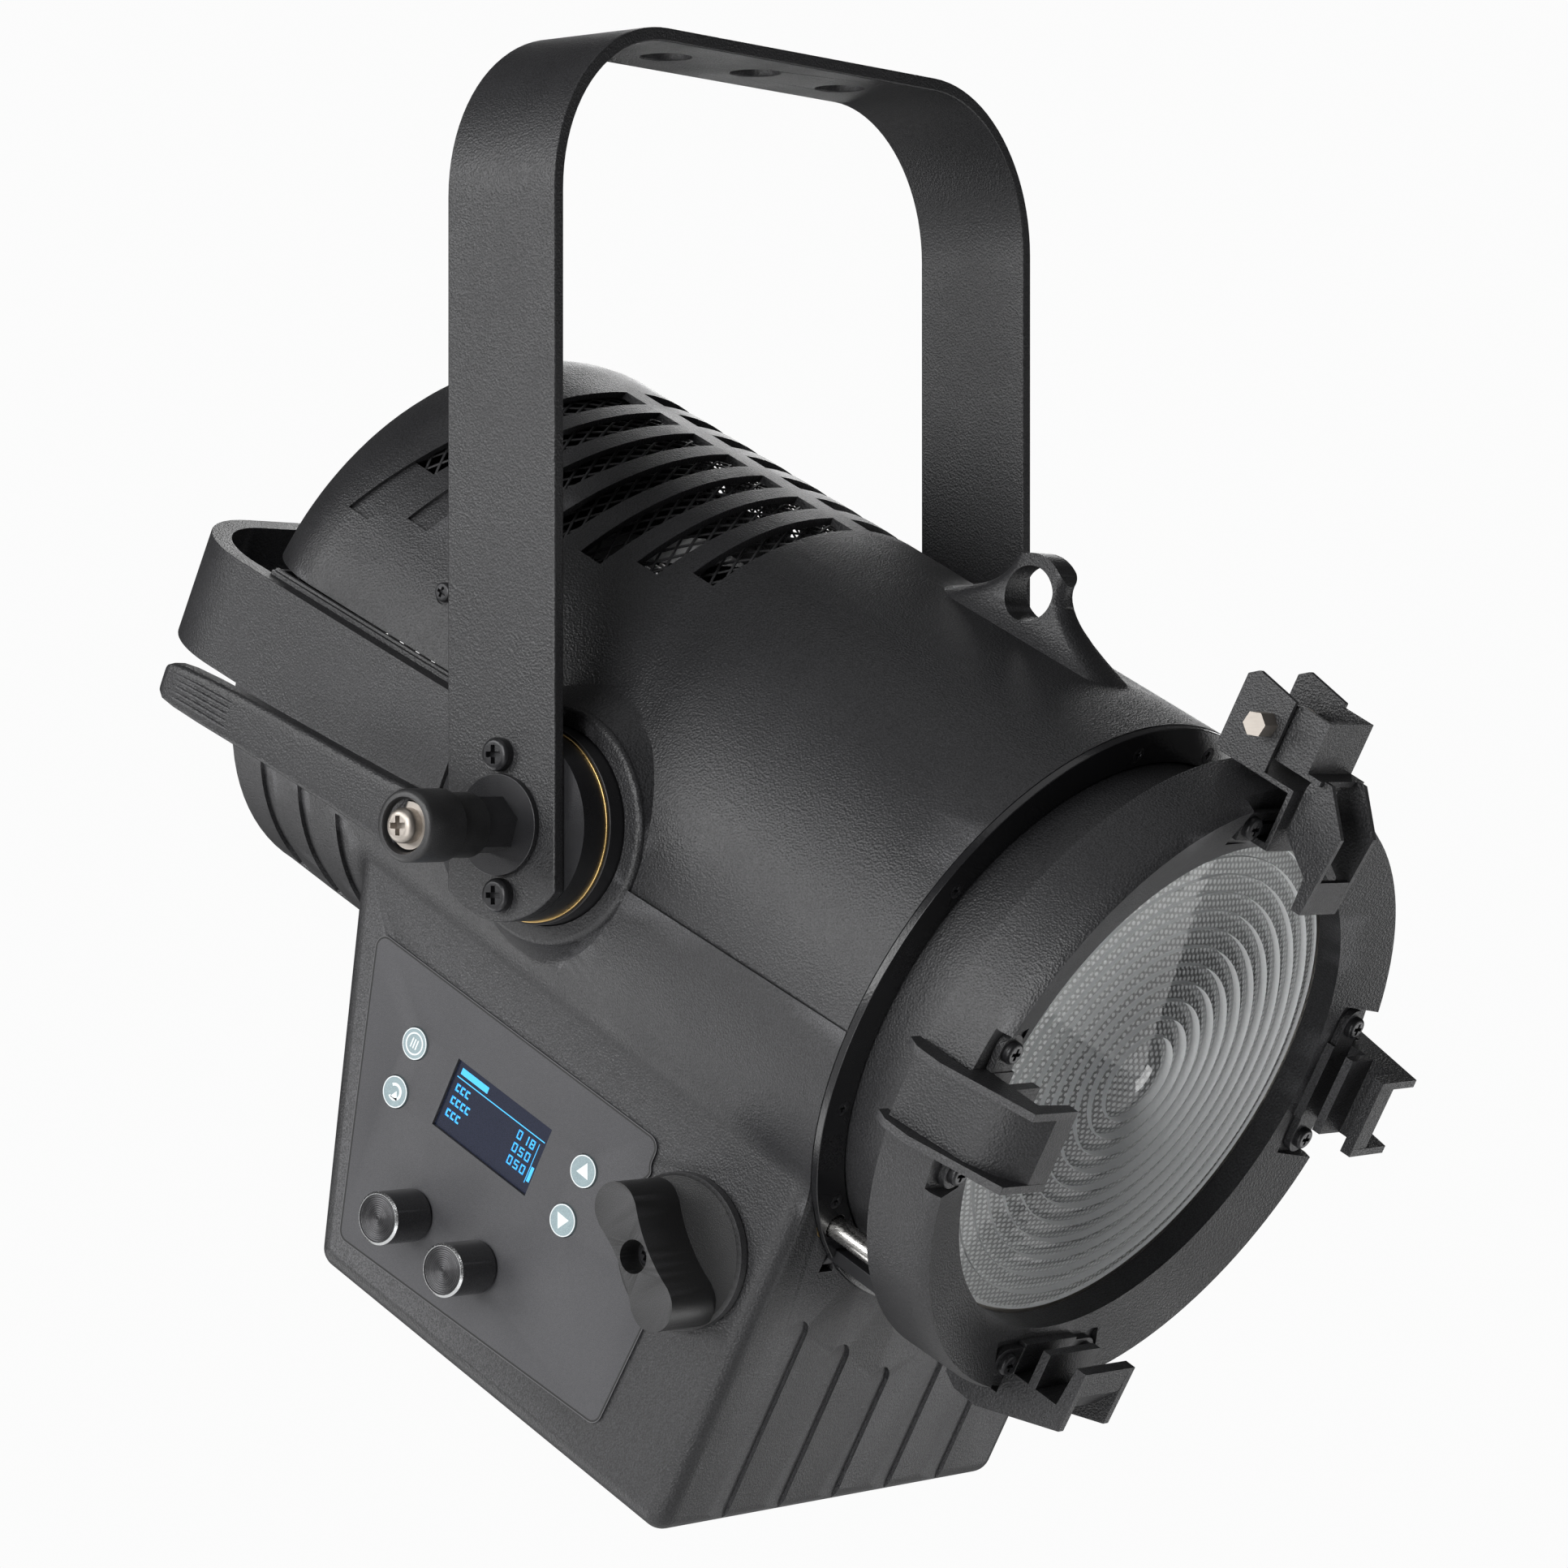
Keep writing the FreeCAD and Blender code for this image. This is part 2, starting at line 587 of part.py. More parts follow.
def box_front_grooves():
    """Five ramped grooves down the front of the control box."""
    grooves = []
    for k in range(-2, 3):
        x = 32.2 * k
        top = -144.0 + 13.0 * abs(k)
        corners = [at(x - 13, BOX_FRONT + 0.01, top), at(x + 1, BOX_FRONT - 1.6, top),
                   at(x + 1, BOX_FRONT + 3, top), at(x - 13, BOX_FRONT + 3, top)]
        down = Vector(0, 0, BOX_BOTTOM - 5 - top)
        ramp = Part.Face(Part.makePolygon(corners + corners[:1])).extrude(down)
        bow = rod_a(7.0, 140.0, 160.0, x - 6.0, top - 7.0)
        below = block(x - 14, x + 2, 140, 160, BOX_BOTTOM - 6, top - 7.0)
        grooves.append(ramp.common(bow.fuse(below)))
    return Part.makeCompound(grooves)


def lower_rear_grooves():
    """Curved grooves round the underside behind the control box."""
    grooves = []
    for a in (-145.0, -123.0, -101.0):
        for side in (-1, 1):
            wedge = sector_a(*sorted((side * 118.0, side * 150.0)))
            ring = tube_a(125.0, LOWER_REAR_R - 1.6, a - 3.5, a + 3.5)
            grooves.append(ring.common(wedge))
    return Part.makeCompound(grooves)


def make_lower_housing():
    outer = blended_box().fuse(boss_skirt())
    inner = lower_body(WALL).fuse(box_prism(WALL)).cut(pivot_boss())
    shell = outer.cut(inner).cut(above_seam())
    shell = shell.cut(rod_a(FLANGE_R + 0.3, FLANGE_BACK, 160.0))
    shell = shell.cut([box_front_grooves(), lower_rear_grooves(), seam_groove()])
    for x in (-ROD_X, ROD_X):
        shell = shell.cut(rod_a(6.6, 100.0, 160.0, x, ROD_V))
    shell = shell.cut(block(RACK_X - 4, RACK_X + 4, 120, 160, ZOOM_V + PITCH_R - 4, ZOOM_V + PITCH_R + 9))
    shell = shell.cut(rod_x(6.0, -110, -90, ZOOM_A, ZOOM_V))
    for a, v in ENCODER_PLACES.values():
        shell = shell.cut(rod_x(4.5, -110, -90, a, v))
    for a, v in BUTTON_PLACES.values():
        shell = shell.cut(rod_x(BUTTON_R + 0.3, -110, -90, a, v))
    shell = shell.cut(display_opening(-110, -90))
    return shell.cut(trunnion_seat()).removeSplitter()


def handle_outline(inset):
    """Closed face of the U-shaped rear handle, seen from above, pulled in by inset."""
    half = HANDLE_HALF - inset
    rear = HANDLE_REAR + inset
    r = HANDLE_CORNER_R - inset
    k = r * (1 - math.sqrt(0.5))
    front = HANDLE_FRONT
    v = HANDLE_LOW
    line = Part.LineSegment
    edges = [line(at(-half, front, v), at(-half, rear + r, v)),
             Part.Arc(at(-half, rear + r, v), at(-half + k, rear + k, v), at(-half + r, rear, v)),
             line(at(-half + r, rear, v), at(half - r, rear, v)),
             Part.Arc(at(half - r, rear, v), at(half - k, rear + k, v), at(half, rear + r, v)),
             line(at(half, rear + r, v), at(half, front, v)),
             line(at(half, front, v), at(-half, front, v))]
    return Part.Face(Part.Wire([edge.toShape() for edge in edges]))


def make_rear_handle():
    """Carrying handle wrapped round the rear, bolted flat against the lower shell's sides."""
    lift = Vector(0, 0, HANDLE_HEIGHT)
    band = handle_outline(0).extrude(lift).cut(handle_outline(HANDLE_THICK).extrude(lift))
    band.rotate(at(0, HANDLE_FRONT, 0), X_AXIS, -SEAM_SLOPE)
    taper = plate_x([(-40, -60), (-40, -12), (-82, -20), (-70, -60)], -130, 130)
    return band.cut(taper).cut(lower_body(0)).removeSplitter()


def make_rear_plate():
    """Sheet-metal plate that closes the rear between the shells and carries the sockets."""
    plate = rod_a(LOWER_REAR_R - WALL, LOWER_REAR + 1.0, LOWER_REAR + 3.0).cut(above_seam())
    shelf = [(-195, 17.3), (-159, 19.1), (-159, 17.1), (-195, 15.3)]
    plate = plate.fuse(plate_x(shelf, -130, 130).common(upper_body(WALL)))
    for x, v in POWER_PLACES:
        plate = plate.cut(rod_a(13.0, -170, -150, x, v))
    for x, v in DATA_PLACES:
        plate = plate.cut(rod_a(10.5, -170, -150, x, v))
    plate = plate.cut(rod_a(6.5, -170, -150, *FUSE_PLACE))
    for k in range(-6, 7):
        plate = plate.cut(block(11.0 * k - 2.5, 11.0 * k + 2.5, -170, -150, -32.0, 2.0))
    return plate.removeSplitter()


# ---- rear connectors -------------------------------------------------------------------------------
def socket(r, depth, key_r, x, v):
    """Round panel socket with a flange outside the plate and an open, keyed mouth."""
    back = LOWER_REAR + 1.0
    body = rod_a(r, back - 4.0, back + depth, x, v).fuse(rod_a(r + 3.0, back - 3.0, back, x, v))
    mouth = rod_a(r - 2.5, back - 5.0, back + depth * 0.6, x, v)
    key = rod_a(key_r, back - 3.5, back + depth * 0.6, x, v)
    return body.cut(mouth).fuse(key).removeSplitter()


def make_power_sockets():
    return Part.makeCompound([socket(13.0, 24.0, 4.5, x, v) for x, v in POWER_PLACES])


def make_data_sockets():
    return Part.makeCompound([socket(10.5, 18.0, 3.0, x, v) for x, v in DATA_PLACES])


def make_fuse_holder():
    back = LOWER_REAR + 1.0
    x, v = FUSE_PLACE
    cap = rod_a(8.5, back - 7.0, back, x, v).cut(block(x - 5, x + 5, back - 8, back - 5, v - 0.8, v + 0.8))
    return cap.fuse(rod_a(6.5, back, back + 24.0, x, v)).removeSplitter()


# ---- inside the head -------------------------------------------------------------------------------
def make_louvre_mesh():
    """Perforated guard under the louvres: a thin curved sheet with a flange at each end."""
    sheet = tube_a(108.4, 107.4, -150.0, 4.0)
    rims = [tube_a(118.0, 107.4, a, a + 1.0) for a in (-150.0, 3.0)]
    guard = fused([sheet] + [rim.common(upper_body(WALL)) for rim in rims])
    return guard.common(sector_a(-59.0, 59.0))


def make_led_board():
    board = rod_a(46.0, 20.0, 23.0)
    return board.fuse(rod_a(24.0, 23.0, 25.0)).removeSplitter()


def make_mixing_reflector():
    """Flared mixing tube in front of the emitters."""
    outer = [(25.2, 33.0), (58.0, 64.0), (58.0, 62.5), (25.2, 31.5)]
    return turned(outer).fuse(tube_a(44.0, 31.5, 23.0, 25.2)).removeSplitter()


def make_heat_sink():
    """Finned heat sink behind the board; its lugs are screwed to the pivot bosses."""
    plate = rod_a(62.0, 12.0, 20.0).fuse(block(-103.0, 103.0, 12.0, 20.0, -16.0, 16.0))
    fins = []
    for k in range(-9, 10):
        x = 6.2 * k
        half = math.sqrt(62.0 ** 2 - x ** 2) - 2.0
        fins.append(block(x - 0.9, x + 0.9, FAN_FRONT, 12.0, AXIS_RISE - half, AXIS_RISE + half))
    return fused([plate] + fins)


def make_fan_frame():
    frame = block(-60, 60, FAN_BACK, FAN_FRONT, AXIS_RISE - 60, AXIS_RISE + 60)
    frame = frame.cut(rod_a(57.0, FAN_BACK, FAN_FRONT))
    spider = rod_a(19.0, FAN_BACK, FAN_BACK + 3.0)
    for deg in (45, 135, 225, 315):
        arm = block(-2.5, 2.5, FAN_BACK, FAN_BACK + 3.0, AXIS_RISE + 15.0, AXIS_RISE + 59.0)
        spider = spider.fuse(turned_about_axis(arm, deg))
    post = rod_a(4.0, FAN_BACK, FAN_BACK + 10.0)
    return fused([frame, spider, post])


def make_fan_rotor():
    """Hub and seven pitched blades on the fan's post."""
    hub = rod_a(20.0, FAN_BACK + 4.0, FAN_FRONT - 1.0).cut(rod_a(4.0 + RUN_GAP, FAN_BACK, FAN_BACK + 10.5))
    blades = []
    for k in range(7):
        blade = block(-14.0, 14.0, -0.9, 0.9, 17.0, 55.0)
        blade.rotate(Vector(), UP, 38.0)
        blade.translate(at(0, (FAN_BACK + FAN_FRONT) / 2 + 1.5, AXIS_RISE))
        blades.append(turned_about_axis(blade, 360.0 * k / 7))
    rotor = fused([hub] + blades).common(rod_a(55.0, FAN_BACK + 3.6, FAN_FRONT))
    return rotor.cut(rod_a(4.0 + RUN_GAP, FAN_BACK, FAN_BACK + 10.5)).removeSplitter()


def make_power_supply():
    case = block(-70, 70, 0, 92, BOX_BOTTOM + WALL, -158)
    vents = [block(-60, 60, 8 + 12 * k, 13 + 12 * k, -159.5, -150) for k in range(7)]
    return case.cut(Part.makeCompound(vents))


def make_driver_board():
    board = block(-60, 62, -20, 60, -143.0, -141.4)
    parts = [block(-50 + 26 * k, -34 + 26 * k, -8, 10, -141.4, -128.0) for k in range(4)]
    posts = [Part.makeCylinder(2.5, 15.0, at(x, a, -158.0)) for x in (-52, 54) for a in (6, 54)]
    return fused([board] + parts + posts)


def make_control_board():
    """Control circuit board behind the panel, with its posts and the two rotary encoders."""
    pieces = [block(-92.0, -90.4, -36, 70, -185, -98)]
    pieces += [rod_x(2.5, PANEL_X + WALL, -92.0, a, v) for a in (-25, 67) for v in (-182, -140)]
    for a, v in ENCODER_PLACES.values():
        pieces.append(block(-90.4, -83.0, a - 6.5, a + 6.5, v - 6.5, v + 6.5))
        pieces.append(rod_x(4.4, PANEL_X, -90.4, a, v))
    board = fused(pieces)
    for a, v in ENCODER_PLACES.values():
        board = board.cut(rod_x(3.0 + RUN_GAP, -105, -83.5, a, v))
    return board


# ---- control panel ---------------------------------------------------------------------------------
def display_opening(x0, x1):
    return block(x0, x1, DISPLAY_A[0], DISPLAY_A[1], DISPLAY_V[0], DISPLAY_V[1])


def on_bite(edge, bite_r):
    """True for the short edges where the sheet's outline meets the bite for the zoom knob."""
    centre = edge.CenterOfMass
    reach = math.hypot(centre.y + ZOOM_A, centre.z - ZOOM_V)
    return abs(edge.Length - OVERLAY_THICK) < 1e-6 and abs(reach - bite_r) < 1e-3


def make_control_overlay():
    """Printed panel sheet, with a round bite where the zoom knob's disc sits."""
    outline = [(-67.0, -80.5), (87.0, -80.5), (87.0, -90.0), (112.0, -125.0), (109.6, -185.5),
               (-29.7, -191.5)]
    x1 = PANEL_X
    sheet = plate_x(outline, x1 - OVERLAY_THICK, x1)
    upright = [edge for edge in sheet.Edges if abs(edge.Length - OVERLAY_THICK) < 1e-6]
    sheet = sheet.makeFillet(5.0, upright)
    bite_r = KNOB_DISC_R + 2.0
    sheet = sheet.cut(rod_x(bite_r, x1 - 5, x1 + 5, ZOOM_A, ZOOM_V))
    sheet = sheet.makeFillet(3.0, [edge for edge in sheet.Edges if on_bite(edge, bite_r)])
    sheet = sheet.cut(display_opening(x1 - 5, x1 + 5))
    for a, v in BUTTON_PLACES.values():
        sheet = sheet.cut(rod_x(BUTTON_R + 0.3, x1 - 5, x1 + 5, a, v))
    for a, v in ENCODER_PLACES.values():
        sheet = sheet.cut(rod_x(4.5, x1 - 5, x1 + 5, a, v))
    return sheet


def make_display_window():
    """Display module; its window lies a little below the panel sheet."""
    gap = 0.1
    window = block(PANEL_X + 0.4, -97.8, DISPLAY_A[0] + gap, DISPLAY_A[1] - gap,
                   DISPLAY_V[0] + gap, DISPLAY_V[1] - gap)
    module = block(-97.8, -92.2, DISPLAY_A[0] - 3, DISPLAY_A[1] + 3, DISPLAY_V[0] - 3, DISPLAY_V[1] + 3)
    return window.fuse(module).removeSplitter()


def make_button(a, v):
    """Key cap that stands just proud of the panel sheet, with a retaining flange behind the wall."""
    cap = rod_x(BUTTON_R, PANEL_X - OVERLAY_THICK - 0.7, PANEL_X + WALL, a, v)
    flange = rod_x(BUTTON_R + 1.2, PANEL_X + WALL + 0.05, PANEL_X + WALL + 1.2, a, v)
    link = rod_x(BUTTON_R - 1, PANEL_X + WALL - 1, PANEL_X + WALL + 1, a, v)
    plunger = rod_x(1.6, PANEL_X + WALL + 1.0, -92.8, a, v)
    return fused([cap, flange, link, plunger])


def make_encoder_knob(a, v):
    """Turned aluminium knob with a chamfered rim and a short shaft."""
    foot = PANEL_X - OVERLAY_THICK - 0.6
    knob = rod_x(ENCODER_R, foot - ENCODER_LENGTH, foot, a, v)
    rims = [edge for edge in knob.Edges if edge.Closed and edge.CenterOfMass.x < foot - 5]
    knob = knob.makeChamfer(0.8, rims)
    return knob.fuse(rod_x(3.0, foot - 1, -84.5, a, v)).removeSplitter()


# ---- zoom drive ------------------------------------------------------------------------------------
def involute_tooth(base_r, outer_r, half_angle):
    """One flank-to-flank tooth outline about (0, 0), pointing along +v, as (a, v) points."""
    steps = 6
    t_end = math.sqrt((outer_r / base_r) ** 2 - 1)
    flank = []
    for i in range(steps + 1):
        t = t_end * i / steps
        r = base_r * math.sqrt(1 + t * t)
        phi = half_angle - (t - math.atan(t))
        flank.append((r * math.sin(phi), r * math.cos(phi)))
    return flank, [(-a, v) for a, v in reversed(flank)]


def pinion_outline():
    """Involute gear, 20 degree pressure angle."""
    press = math.radians(20)
    base_r = PITCH_R * math.cos(press)
    outer_r = PITCH_R + 0.9 * GEAR_MODULE
    root_r = PITCH_R - 1.25 * GEAR_MODULE
    half_angle = math.pi / (2 * GEAR_TEETH) + math.tan(press) - press
    right, left = involute_tooth(base_r, outer_r, half_angle)
    tooth = [(root_r * math.sin(half_angle), root_r * math.cos(half_angle))] + right + left
    tooth.append((-tooth[0][0], tooth[0][1]))
    points = []
    for k in range(GEAR_TEETH):
        turn = 2 * math.pi * k / GEAR_TEETH
        c, s = math.cos(turn), math.sin(turn)
        points += [(a * c - v * s, a * s + v * c) for a, v in tooth]
    return points


def make_zoom_pinion():
    outline = [(ZOOM_A + a, ZOOM_V + v) for a, v in pinion_outline()]
    gear = plate_x(outline, RACK_X - 3.5, RACK_X + 3.5)
    return gear.cut(rod_x(4.0, RACK_X - 5, RACK_X + 5, ZOOM_A, ZOOM_V))


def make_zoom_shaft():
    return rod_x(4.0, -104.0, -58.0, ZOOM_A, ZOOM_V)


def make_zoom_bush():
    """Flanged bronze bush pressed into the panel wall."""
    bush = washer_x(6.0, 4.0 + RUN_GAP, -101.5, -90.0, ZOOM_A, ZOOM_V)
    return bush.fuse(washer_x(9.0, 4.0 + RUN_GAP, -98.0, -95.5, ZOOM_A, ZOOM_V)).removeSplitter()


def grip_bar():
    """Waisted bar across the knob's disc."""
    long_half, end_r, waist, waist_r = 18.5, 9.2, 7.0, 60.0
    ends = [rod_x(end_r, -130.0, -104.5, s * long_half, 0) for s in (-1, 1)]
    middle = block(-130.0, -104.5, -long_half, long_half, -end_r, end_r)
    sides = [rod_x(waist_r, -131.0, -104.0, 0, s * (waist + waist_r)) for s in (-1, 1)]
    return fused(ends + [middle.cut(sides)])


def make_zoom_knob():
    disc = rod_x(KNOB_DISC_R, -106.0, PANEL_X - 0.6)
    rims = [edge for edge in disc.Edges if edge.Closed and edge.CenterOfMass.x < -105]
    knob = disc.makeChamfer(1.2, rims).fuse(grip_bar())
    knob = knob.cut(rod_x(6.0, -131.0, KNOB_SEAT)).cut(rod_x(2.0, -131.0, -100.0))
    knob = knob.cut(rod_x(4.0, -104.0, -100.0)).removeSplitter()
    knob.rotate(Vector(), X_AXIS, 35.0)
    knob.translate(at(0, ZOOM_A, ZOOM_V))
    return knob


def make_knob_screw():
    return screw(4.2, 2.8, 2.0, -104.0 - KNOB_SEAT, at(KNOB_SEAT, ZOOM_A, ZOOM_V), X_AXIS)


def make_focus_rack():
    """Toothed bar on the carriage; it runs back through a slot in the flange over the pinion."""
    pitch = math.pi * GEAR_MODULE
    line_v = ZOOM_V + PITCH_R
    add, ded = 0.9 * GEAR_MODULE, 1.25 * GEAR_MODULE
    slope = math.tan(math.radians(20))
    x0, x1 = RACK_X - RACK_HALF_WIDTH, RACK_X + RACK_HALF_WIDTH
    bar = block(x0, x1, 76.0, RING_REAR, line_v + ded, line_v + ded + 4.5)
    teeth = []
    for k in range(-8, 8):
        middle = ZOOM_A + pitch * (k + 0.5)
        root = pitch / 4 - BACKLASH + ded * slope
        tip = pitch / 4 - BACKLASH - add * slope
        teeth.append(plate_x([(middle - root, line_v + ded + 0.2), (middle - tip, line_v - add),
                              (middle + tip, line_v - add), (middle + root, line_v + ded + 0.2)], x0, x1))
    return fused([bar] + teeth)


# ---- flange and carriage ---------------------------------------------------------------------------
def flange_screw_places():
    angles = [math.radians(deg) for deg in (-129, -106, -60, -11.5, 11.5, 60, 106, 129)]
    return [at(FLANGE_SCREW_R * math.sin(t), FLANGE_FRONT, AXIS_RISE + FLANGE_SCREW_R * math.cos(t))
            for t in angles]


def flange_screws():
    """Countersunk screws round the flange."""
    return Part.makeCompound([countersunk(2.9, 1.5, 9.0, place, Vector(0, 1, 0))
                              for place in flange_screw_places()])


def flange_sinks():
    """Countersunk holes for those screws."""
    sinks = []
    for place in flange_screw_places():
        cone = Part.makeCone(2.9, 1.5, 1.4, place, Vector(0, 1, 0))
        sinks.append(cone.fuse(Part.makeCylinder(1.5, 12.0, place, Vector(0, 1, 0))))
    return Part.makeCompound(sinks)


def make_front_flange():
    ring = tube_a(FLANGE_R, FLANGE_IN_R, FLANGE_BACK, FLANGE_FRONT)
    for x in (-ROD_X, ROD_X):
        ring = ring.cut(rod_a(ROD_R + 0.5, 140, 160, x, ROD_V))
    line_v = ZOOM_V + PITCH_R
    ring = ring.cut(block(RACK_X - 3.2, RACK_X + 3.2, 140, 160, line_v - 2.2, line_v + 7.2))
    return ring.cut(flange_sinks())


def make_guide_bushes():
    bushes = [tube_a(6.5, ROD_R + RUN_GAP, 112.0, FLANGE_BACK, x, ROD_V) for x in (-ROD_X, ROD_X)]
    return Part.makeCompound(bushes)


def make_guide_rods():
    rods = [rod_a(ROD_R, ROD_REAR, RING_REAR, x, ROD_V) for x in (-ROD_X, ROD_X)]
    return Part.makeCompound(rods)


def make_lens_sleeve():
    return tube_a(SLEEVE_R, SLEEVE_R - SLEEVE_WALL, SLEEVE_REAR, RING_REAR)


def bottom_bracket():
    """Two-slot bracket below the ring; slots are open towards the optical axis."""
    comb = [(233.5, 97.0), (229.0, 97.0), (227.5, 113.0), (217.5, 113.0), (217.5, 99.0), (214.0, 99.0),
            (214.0, 113.0), (207.0, 113.0), (207.0, 101.0), (EAR_A, 101.0), (EAR_A, 123.2)]
    flange = [(181.0, 123.2), (181.0, 128.5), (187.0, 132.0), (198.0, 132.5), (233.0, 121.0)] + comb
    web = [(185.0, 123.2), (185.0, 127.5), (216.0, 123.0), (226.0, 116.8), (233.0, 107.0)] + comb

    def plate(points, x0, x1):
        return plate_x([(a, AXIS_RISE - r) for a, r in points], x0, x1)

    inner = BRACKET_HALF - BRACKET_PLATE
    parts = [plate(flange, -BRACKET_HALF, -inner), plate(web, -inner, inner),
             plate(flange, inner, BRACKET_HALF)]
    for side in (-1, 1):
        tab = block(*sorted((side * (BRACKET_HALF - 0.5), side * (EAR_S + 1))), EAR_A, EAR_A + 3.0,
                    AXIS_RISE - EAR_R - 5.5, AXIS_RISE - EAR_R + 5.5)
        eye = rod_a(5.5, EAR_A, EAR_A + 3.0, side * (EAR_S + 1), AXIS_RISE - EAR_R)
        parts += [tab, eye]
    return fused(parts)


def bracket_screws_at(turn):
    pair = [screw(4.2, 2.6, 2.0, 11.0, at(s, EAR_A + 3.0, AXIS_RISE - EAR_R), Vector(0, 1, 0))
            for s in (-EAR_S, EAR_S)]
    return [turned_about_axis(one, turn) for one in pair]


def make_bracket_screws():
    screws = []
    for turn in list(BRACKET_TURNS.values()) + [LATCH_TURN]:
        screws += bracket_screws_at(turn)
    return Part.makeCompound(screws)


def make_accessory_bracket(turn):
    return turned_about_axis(bottom_bracket(), turn).cut(make_bracket_screws())


def ear_notches():
    """Pockets in the ring's front for the brackets' ears and foot plates."""
    pocket = block(-31.0, 31.0, EAR_A, 212.0, AXIS_RISE - 126.0, AXIS_RISE - 100.0)
    turns = list(BRACKET_TURNS.values()) + [LATCH_TURN]
    return Part.makeCompound([turned_about_axis(pocket, turn) for turn in turns])


def make_front_ring():
    """Ring that carries the lens, the rods and the accessory brackets."""
    ring = turned([(RING_REAR, SLEEVE_R - SLEEVE_WALL), (RING_REAR, RING_R), (206.0, RING_R - 0.9),
                   (RING_FRONT, 119.7), (202.5, 98.0), (LENS_RIM, 98.0),
                   (LENS_RIM, SLEEVE_R - SLEEVE_WALL)])
    return ring.cut([ear_notches(), make_bracket_screws()]).removeSplitter()


def make_fresnel_lens():
    """Stepped lens: a central bull's eye and ten rings on the front, flat at the back."""
    centre_r, rings = 18.0, 10
    rim_r = 96.0
    step = (rim_r - centre_r) / rings
    low, high = LENS_RIM - 1.2, LENS_RIM + 2.6
    profile = [(LENS_BACK, 0), (LENS_BACK, LENS_R), (LENS_RIM, LENS_R), (LENS_RIM, rim_r)]
    for k in range(rings, 0, -1):
        inner = centre_r + step * (k - 1)
        profile.append((low + 0.4, inner + step))
        profile.append((high - 0.12 * k, inner))
    apex, edge = high + 2.0, low + 0.8
    ball_r = (centre_r ** 2 + (apex - edge) ** 2) / (2 * (apex - edge))
    half_way = centre_r / 2
    profile.append((edge, centre_r))
    profile.append((apex, 0, (apex - ball_r + math.sqrt(ball_r ** 2 - half_way ** 2), half_way)))
    return turned(profile)


def make_lens_clip():
    """Snap ring that holds the lens against the front ring's shoulder."""
    return tube_a(SLEEVE_R - SLEEVE_WALL - 0.2, 97.5, LENS_BACK - 2.5, LENS_BACK)


def make_latch_bracket():
    """U-shaped hinge bracket on top of the ring, with two ears on the ring's front."""
    a, v = LATCH_PIN
    cheek = [(177, 127.5), (177, 155), (181, 158), (199, 155), (199, 127.5)]
    cheeks = [plate_x(cheek, x, x + 2.0) for x in (-17.0, 15.0)]
    base = block(-17, 17, 179, 212.5, 126.0, 128.0)
    apron = block(-17, 17, 210.5, 212.5, 104.5, 128.0)
    foot = block(-17, 17, EAR_A, 212.5, 104.5, 107.0)
    ears = [block(*sorted((s * 16, s * (EAR_S + 5))), EAR_A, EAR_A + 3.0, AXIS_RISE + EAR_R - 5.5,
                  AXIS_RISE + EAR_R + 5.5) for s in (-1, 1)]
    sole = block(-17, 17, EAR_A, EAR_A + 3.0, 104.5, AXIS_RISE + EAR_R + 5.5)
    bracket = fused(cheeks + [base, apron, foot, sole] + ears)
    return bracket.cut(rod_x(3.0, -30, 30, a, v)).cut(make_bracket_screws()).removeSplitter()


def make_latch_pin():
    """Hex-headed hinge pin with a retaining collar."""
    a, v = LATCH_PIN
    head = hexagon_x(4.6, -25.0, -17.0, a, v, 20.0)
    return fused([head, rod_x(3.0, -17.0, 19.0, a, v), rod_x(5.0, 17.0, 19.0, a, v)])


def make_latch_hook():
    """Sprung hook that shuts the top of the accessory slots."""
    a, v = LATCH_PIN
    side = [(a - 7, v - 5), (a - 7, v + 6), (200, 154), (213, 154), (213, 133), (200, 133), (a, v - 8)]
    sides = [plate_x(side, x, x + 2.0) for x in (-14.0, 12.0)]
    front = block(-14, 14, 211, 213, 133, 154)
    bridge = block(-14, 14, 213, 219, 133, 135)
    cheek = [(213.5, 130), (215, 135), (222, 135), (234, 120.5), (231.5, 90), (227.5, 90),
             (227, 102), (213.5, 112)]
    cheeks = [plate_x(cheek, x, x + 2.0) for x in (-11.5, 9.5)]
    nose = plate_x([(229.5, 90), (231.5, 90), (232.5, 103), (230.5, 103)], -11.5, 11.5)
    hook = fused(sides + [front, bridge] + cheeks + [nose])
    return hook.cut(rod_x(3.0 + RUN_GAP, -30, 30, a, v)).removeSplitter()


def make_latch_spring():
    a, v = LATCH_PIN
    return coil_x(5.2, 0.7, -8.5, 8.5, 7, a, v)


# ---- placing and writing ---------------------------------------------------------------------------
def hung(shape):
    """From the arm frame to the finished object's frame."""
    placed = shape.copy()
    placed.translate(Vector(0, 0, -YOKE_DROP))
    return placed


def tipped(shape):
    """From the head frame to the finished object's frame."""
    placed = shape.copy()
    placed.rotate(Vector(), X_AXIS, HEAD_TILT)
    placed.translate(Vector(0, 0, -YOKE_DROP))
    return placed


YOKE_PARTS = {
    "yoke_bar": lambda: make_yoke_bar().cut(arm_screws()),
    "yoke_hub_near": make_hub_disc,
    "yoke_hub_far": lambda: mirrored(make_hub_disc()),
    "yoke_arm_screws": arm_screws,
    "pivot_washers": make_pivot_washers,
    "far_pivot_bolt": make_far_bolt,
    "clamp_insert": make_clamp_insert,
    "clamp_screw": make_clamp_screw,
    "clamp_spring": make_clamp_spring,
    "clamp_handle": make_clamp_handle,
}

